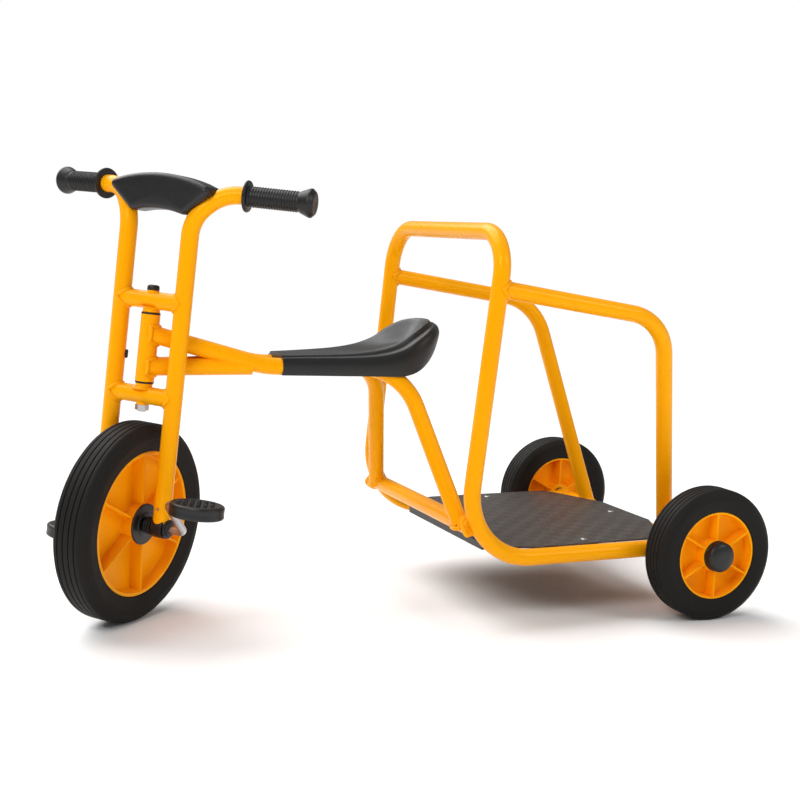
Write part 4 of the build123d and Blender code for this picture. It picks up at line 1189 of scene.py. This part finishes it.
def makeSaddle():
    flat = []
    for x, y, spineX, centre, edge, dip, roll, widest, foot in saddleShape["stations"]:
        flat.append((x, y, spineX, centre, *edge, *dip, *roll, widest, *foot))
    stations = smoothRow(flat, saddleShape["steps"])
    half = [saddleSection(station) for station in stations]
    otherHalf = [[Vector((p.x, -p.y, p.z)) for p in section] for section in reversed(half[:-1])]
    sections = half + otherHalf
    count = len(sections[0])
    points = [p for section in sections for p in section]
    faces = []
    for j in range(len(sections) - 1):
        for i in range(count):
            k = (i + 1) % count
            faces.append((j * count + i, j * count + k, (j + 1) * count + k, (j + 1) * count + i))
    last = (len(sections) - 1) * count
    for i in range(count // 2 - 1):
        k = count - 1 - i
        faces.append((i, i + 1, k - 1, k))
        faces.append((last + k, last + k - 1, last + i + 1, last + i))
    mesh = bpy.data.meshes.new("saddle")
    mesh.from_pydata(points, [], faces)
    show("saddle", mesh, "blackPlastic", "frame", "seat", sharpAngle=70)


makeSaddle()
print("saddle made")


# pedals: oval blocks, in millimetres about the middle of each pedal, with y along its spindle
pedalShape = {
    "length": 81.0, "width": 72.0, "height": 22.0, "round": 4.0, "waist": 0.4,
    "studs": (7, 5), "studPitch": (9.5, 11.0), "studSize": (5.6, 3.0, 1.6), "studRise": 1.2,
    "studShift": 0.25, "studReach": 0.56, "studSink": 0.4,
    "bore": 6.1, "recess": 9.4, "recessDepth": 9.9, "cap": 2.0,
}


def studMesh():
    along, across, rise = (value * mm for value in pedalShape["studSize"])
    shape = bmesh.new()
    bmesh.ops.create_cube(shape, size=1, matrix=Matrix.Diagonal((along, across, 2 * rise, 1)))
    bmesh.ops.bevel(shape, geom=shape.edges, offset=rise * 0.45, segments=2, affect="EDGES", profile=0.5)
    mesh = bpy.data.meshes.new("stud")
    shape.to_mesh(mesh)
    shape.free()
    return mesh


def bored(mesh, cutter):
    # take the cutter's volume out of a closed mesh
    carrier = bpy.data.objects.new("carrier", mesh)
    tool = bpy.data.objects.new("cutter", cutter)
    for thing in (carrier, tool):
        scene.collection.objects.link(thing)
    modifier = carrier.modifiers.new("bore", "BOOLEAN")
    modifier.operation = "DIFFERENCE"
    modifier.solver = "EXACT"
    modifier.object = tool
    depsgraph = bpy.context.evaluated_depsgraph_get()
    result = bpy.data.meshes.new_from_object(carrier.evaluated_get(depsgraph))
    for thing in (carrier, tool):
        bpy.data.objects.remove(thing)
    return result


def pedalMesh():
    spec = pedalShape
    halfWidth, halfLength, halfHeight = spec["width"] / 2, spec["length"] / 2, spec["height"] / 2
    sides, steps = 96, 6
    flat = halfHeight - spec["studRise"]
    rows = []
    for share, z in ((0.0, flat - 0.6), (0.80, flat - 0.6), (0.86, flat)):
        rows.append((share, z))
    for step in range(steps + 1):
        angle = math.pi / 2 * step / steps
        inset = spec["round"] * (1 - math.sin(angle)) / halfWidth
        rows.append((1 - inset, flat - spec["round"] * (1 - math.cos(angle))))
    rows.append((1 - spec["waist"] / halfWidth, 2.2))
    rows += [(share, -z) for share, z in reversed(rows)]
    points, faces = [], []
    for share, z in rows:
        for i in range(sides):
            turn = math.tau * i / sides
            x, y = halfWidth * share * math.cos(turn), halfLength * share * math.sin(turn)
            points.append((x * mm, y * mm, z * mm))
    for j in range(len(rows) - 1):
        for i in range(sides):
            a, b = j * sides + i, j * sides + (i + 1) % sides
            faces.append((a, b, b + sides, a + sides))
    body = bpy.data.meshes.new("pedalBody")
    body.from_pydata(points, [], faces)
    mendFaces(body, 50)
    floor = halfLength - spec["recessDepth"]
    profile = [(0, -halfLength - 1, 0), (spec["bore"], -halfLength - 1, 0), (spec["bore"], floor, 0),
               (spec["recess"], floor, 0), (spec["recess"], halfLength - spec["cap"], 0),
               (0, halfLength - spec["cap"], 0)]
    cutter = turned([(r * mm, z * mm, bend) for r, z, bend in profile], 64)
    cutter.transform(layOnAxle)
    body = bored(body, cutter)
    spots = []
    across, along = spec["studs"]
    for i in range(across):
        for j in range(along):
            x = (i - (across - 1) / 2) * spec["studPitch"][0]
            shift = spec["studShift"] if i % 2 else -spec["studShift"]
            y = (j - (along - 1) / 2 + shift) * spec["studPitch"][1]
            if (x / halfWidth) ** 2 + (y / halfLength) ** 2 < spec["studReach"]:
                for side in (1, -1):
                    spots.append(Matrix.Translation((x * mm, y * mm, side * (flat - spec["studSink"]) * mm))
                                 @ Matrix.Rotation(math.radians(90), 4, "Z"))
    return joined(body, copiesAt(studMesh(), spots))


def makePedals():
    block = pedalMesh()
    for word in ("left", "right"):
        low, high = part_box(word + "_pedal")
        place = forkPlace.copy()
        place.translation = (low + high) / 2
        if word == "right":
            place = place @ Matrix.Rotation(math.pi, 4, "Z")
        mesh = block.copy()
        mesh.transform(place)
        show(word + "Pedal", mesh, "blackPlastic", word + "_pedal",
             word + "_pedal", word + "_pedal_cap", sharpAngle=45)


makePedals()


# axle blocks: bellows that widen from the hub to the leg; millimetres along the axle
blockShape = {
    "start": 27.4, "end": 72.0, "ribs": [(31.2, 12.6), (36.0, 13.4), (40.8, 14.2), (67.4, 14.2)],
    "core": 10.8, "body": (44.5, 63.6), "bodyRadius": 15.0, "ribHalf": 1.5, "bore": 6.1, "draft": 0.2,
}


def makeBlocks():
    spec = blockShape
    core = spec["core"]
    bore, draft = spec["bore"], spec["draft"]
    profile = [(bore, spec["start"], 0), (core, spec["start"], 0.6)]
    rows = [(middle, spec["ribHalf"], radius) for middle, radius in spec["ribs"]]
    first, last = spec["body"]
    rows.append(((first + last) / 2, (last - first) / 2, spec["bodyRadius"]))
    for middle, halfThick, radius in sorted(rows):
        profile += [(core, middle - halfThick - draft, 0.4), (radius, middle - halfThick + draft, 1.0),
                    (radius, middle + halfThick - draft, 1.0), (core, middle + halfThick + draft, 0.4)]
    profile += [(core, spec["end"], 0.8), (bore, spec["end"], 0)]
    mesh = turned(inMetres(profile), 72, steps=4)
    mesh.transform(layOnAxle)
    showPair("AxleBlock", mesh, "blackPlastic", "fork", "_axle_block", sharpAngle=50)


makeBlocks()


# hub flanges of the front wheel: discs with a raised ring
flangeShape = {"radius": 31.0, "start": 23.4, "thick": 3.6, "ringRadius": 17.0, "bore": 6.05}


def makeFlanges():
    spec = flangeShape
    start, top = spec["start"], spec["start"] + spec["thick"]
    ring = spec["ringRadius"]
    radius, bore = spec["radius"], spec["bore"]
    profile = [(bore, start - 0.2, 0), (radius, start - 0.2, 0.6), (radius, top - 1.6, 1.0),
               (radius - 1.6, top - 1.0, 1.0), (ring + 1.2, top - 1.2, 0.8),
               (ring, top, 0.8), (bore, top, 0.3)]
    mesh = turned(inMetres(profile), 80, closed=True, steps=3)
    mesh.transform(layOnAxle)
    showPair("HubFlange", mesh, "blackPlastic", "front_wheel", "_hub_flange")


makeFlanges()


# crank: one bent bar, in millimetres in the fork's frame; throw and angle put the left pedal forward and up
crankShape = {"radius": 6.0, "side": 95.0, "throw": 70.0, "angle": 44.0, "bend": 9.0, "end": 183.0}


def makeCrank():
    spec = crankShape
    angle = math.radians(spec["angle"])
    out = Vector((spec["throw"] * math.cos(angle), 0, spec["throw"] * math.sin(angle)))
    half = [(Vector((0, spec["side"], 0)), spec["bend"]), (out + Vector((0, spec["side"], 0)), spec["bend"]),
            (out + Vector((0, spec["end"], 0)), 0)]
    other = [(-p, bend) for p, bend in reversed(half)]
    chain = [(p * mm, bend * mm) for p, bend in other + half]
    mesh = tubes([chain], spec["radius"] * mm, forkPlace, sides=32)
    show("crank", mesh, "brightSteel", "front_wheel", "crank_axle")


makeCrank()
print("pedals, blocks and crank made")


# platform board: cut corners at the back, narrower in front, in millimetres from the rear axle line
boardShape = {
    "outline": [(-3, 75), (50, 192.0), (282, 192.0), (322, 182.5), (348, 182)],
    "corner": 8.0, "top": 120.6, "thick": 3.0, "edge": 0.9,
    "screws": [(26, 0), (182, 168), (182, -168), (338, 110), (338, -110)],
    "screwRadius": 5.5, "screwRise": 0.7, "screwSink": 2.4, "socket": 0.42,
    "shankRadius": 2.5, "shankDepth": 12, "screwTurn": 0.4,
}


def slab(outline, low, high, edge, steps=3):
    # flat piece between two heights with its edges rounded off; outline runs anticlockwise
    count = len(outline)
    inward = []
    for i in range(count):
        along = (outline[(i + 1) % count] - outline[i - 1]).normalized()
        inward.append(Vector((-along.y, along.x)))
    rows = []
    for side, face in ((-1, low), (1, high)):
        turns = range(steps + 1) if side > 0 else range(steps, -1, -1)
        for step in turns:
            angle = math.pi / 2 * step / steps
            inset = edge * (1 - math.cos(angle))
            height = face - side * edge * (1 - math.sin(angle))
            rows.append([(*(p + n * inset), height) for p, n in zip(outline, inward)])
    points = [(rearAxle.x + x * mm, y * mm, z * mm) for row in rows for x, y, z in row]
    faces = [tuple(reversed(range(count))), tuple(range(len(points) - count, len(points)))]
    for j in range(len(rows) - 1):
        for i in range(count):
            a, b = j * count + i, j * count + (i + 1) % count
            faces.append((a, b, b + count, a + count))
    mesh = bpy.data.meshes.new("slab")
    mesh.from_pydata(points, [], faces)
    return mesh


def screwHead(radius, rise, depth, socket):
    # button head with a six-sided socket
    profile = [(0, -depth, 0), (radius, -depth, 0.1), (radius, 0, 0.4), (radius * 0.82, rise, 1.4),
               (radius * 0.5, rise, 0.1)]
    head = turned(inMetres(profile), 36, steps=3)
    shape = bmesh.new()
    shape.from_mesh(head)
    rim = [e for e in shape.edges if e.is_boundary and e.verts[0].co.z > 0]
    made = bmesh.ops.extrude_edge_only(shape, edges=rim)["geom"]
    ring = [item for item in made if isinstance(item, bmesh.types.BMVert)]
    for vert in ring:
        turn = math.atan2(vert.co.y, vert.co.x)
        flat = socket * radius * mm / math.cos((turn % (math.pi / 3)) - math.pi / 6)
        vert.co.x, vert.co.y = math.cos(turn) * flat, math.sin(turn) * flat
    rim = [item for item in made if isinstance(item, bmesh.types.BMEdge) and item.is_boundary]
    made = bmesh.ops.extrude_edge_only(shape, edges=rim)["geom"]
    for item in made:
        if isinstance(item, bmesh.types.BMVert):
            item.co.z -= min(depth, 1.2) * 0.8 * mm
    bmesh.ops.holes_fill(shape, edges=[e for e in shape.edges if e.is_boundary], sides=0)
    mesh = bpy.data.meshes.new("screwHead")
    shape.to_mesh(mesh)
    shape.free()
    return mendFaces(mesh, 30)


def makePlatform():
    spec = boardShape
    left = [(x, y, spec["corner"]) for x, y in spec["outline"]]
    loop = [(x, -y, r) for x, y, r in left] + left[::-1]
    outline = roundedOutline(loop, closed=True, steps=8)
    board = slab(outline, spec["top"] - spec["thick"], spec["top"], spec["edge"])
    show("platformBoard", board, "platformSheet", "frame", "platform_board", sharpAngle=60)
    spots = [Matrix.Translation(fromRear(x, y, spec["top"])) @ Matrix.Rotation(spec["screwTurn"] * i, 4, "Z")
             for i, (x, y) in enumerate(spec["screws"])]
    head = screwHead(spec["screwRadius"], spec["screwRise"], spec["screwSink"], spec["socket"])
    heads = copiesAt(head, spots)
    low, high = (spec["top"] - spec["shankDepth"]) * mm, (spec["top"] - 1) * mm
    radius = spec["shankRadius"] * mm
    shank = turned([(0, low, 0), (radius, low, 0.0006), (radius, high, 0), (0, high, 0)], 24)
    shanks = copiesAt(shank, [Matrix.Translation(fromRear(x, y, 0)) for x, y in spec["screws"]])
    show("platformScrews", joined(heads, shanks), "brightSteel", "frame", "platform_screws")


makePlatform()
print("platform made")


# steering head: a ring at each end of the head tube and the cap on top
# heights in millimetres up the steering axis
headFittings = {
    "ring": (14.0, 2.5, 0.8),
    "ringEnds": (211.0, 310.0),
    "ringBore": 6.2, "ringLength": 16,
    "capRadius": 9.0, "capHeight": 8.0, "capRound": 4.0,
    "saddleThick": 1.6,
}


def makeHeadFittings():
    spec = headFittings
    radius, thick, edge = spec["ring"]
    low, high = spec["ringEnds"]
    bore, length = spec["ringBore"], spec["ringLength"]
    for name, node, start, end in (("lowerHeadRing", "lower_head_bush", low - thick, low + length - thick),
                                   ("upperHeadRing", "upper_head_bush", high + thick, high - length + thick)):
        side = 1 if end > start else -1
        lip = start + side * thick
        profile = [(bore, start, 0), (radius, start, edge), (radius, lip, edge),
                   (radius - 2, lip + side * 0.2, 0), (radius - 3, end, 0.5), (bore, end, 0)]
        ring = turned(inMetres(profile), 64, closed=True)
        ring.transform(headPlace)
        show(name, ring, "blackPlastic", "frame", node)
    base = forkTubes["crossbars"][1] + forkTubes["radius"] + spec["saddleThick"]
    top = base + spec["capHeight"]
    profile = [(0, base, 0), (spec["capRadius"], base, 0.4), (spec["capRadius"], top, spec["capRound"]),
               (0, top, 0)]
    cap = turned(inMetres(profile), 64, steps=8)
    cap.transform(forkPlace)
    show("steeringCap", cap, "blackPlastic", "fork", "steering_cap")


makeHeadFittings()
print("steering head made")


# nodes that stay as they came get their finish here
finishOf = {
    "brightSteel": ("axle_block_pins", "axle_nuts", "axle_washers", "pad_screws", "pedal_nuts", "rear_axle",
                    "seat_screws", "steering_bolt", "steering_nut"),
    "blackPaint": ("front_bearer", "middle_bearer", "front_seat_bracket", "rear_seat_bracket"),
    "gripRubber": ("left_bumper", "right_bumper"),
    "blackPlastic": ("left_rear_bushes", "right_rear_bushes"),
    "framePaint": ("handlebar_bridge", "rear_tab", "steering_saddles"),
}


def finishNodes():
    for finish, names in finishOf.items():
        for name in names:
            mesh = bpy.data.objects[name].data
            mesh.materials.clear()
            mesh.materials.append(materials[finish])


finishNodes()
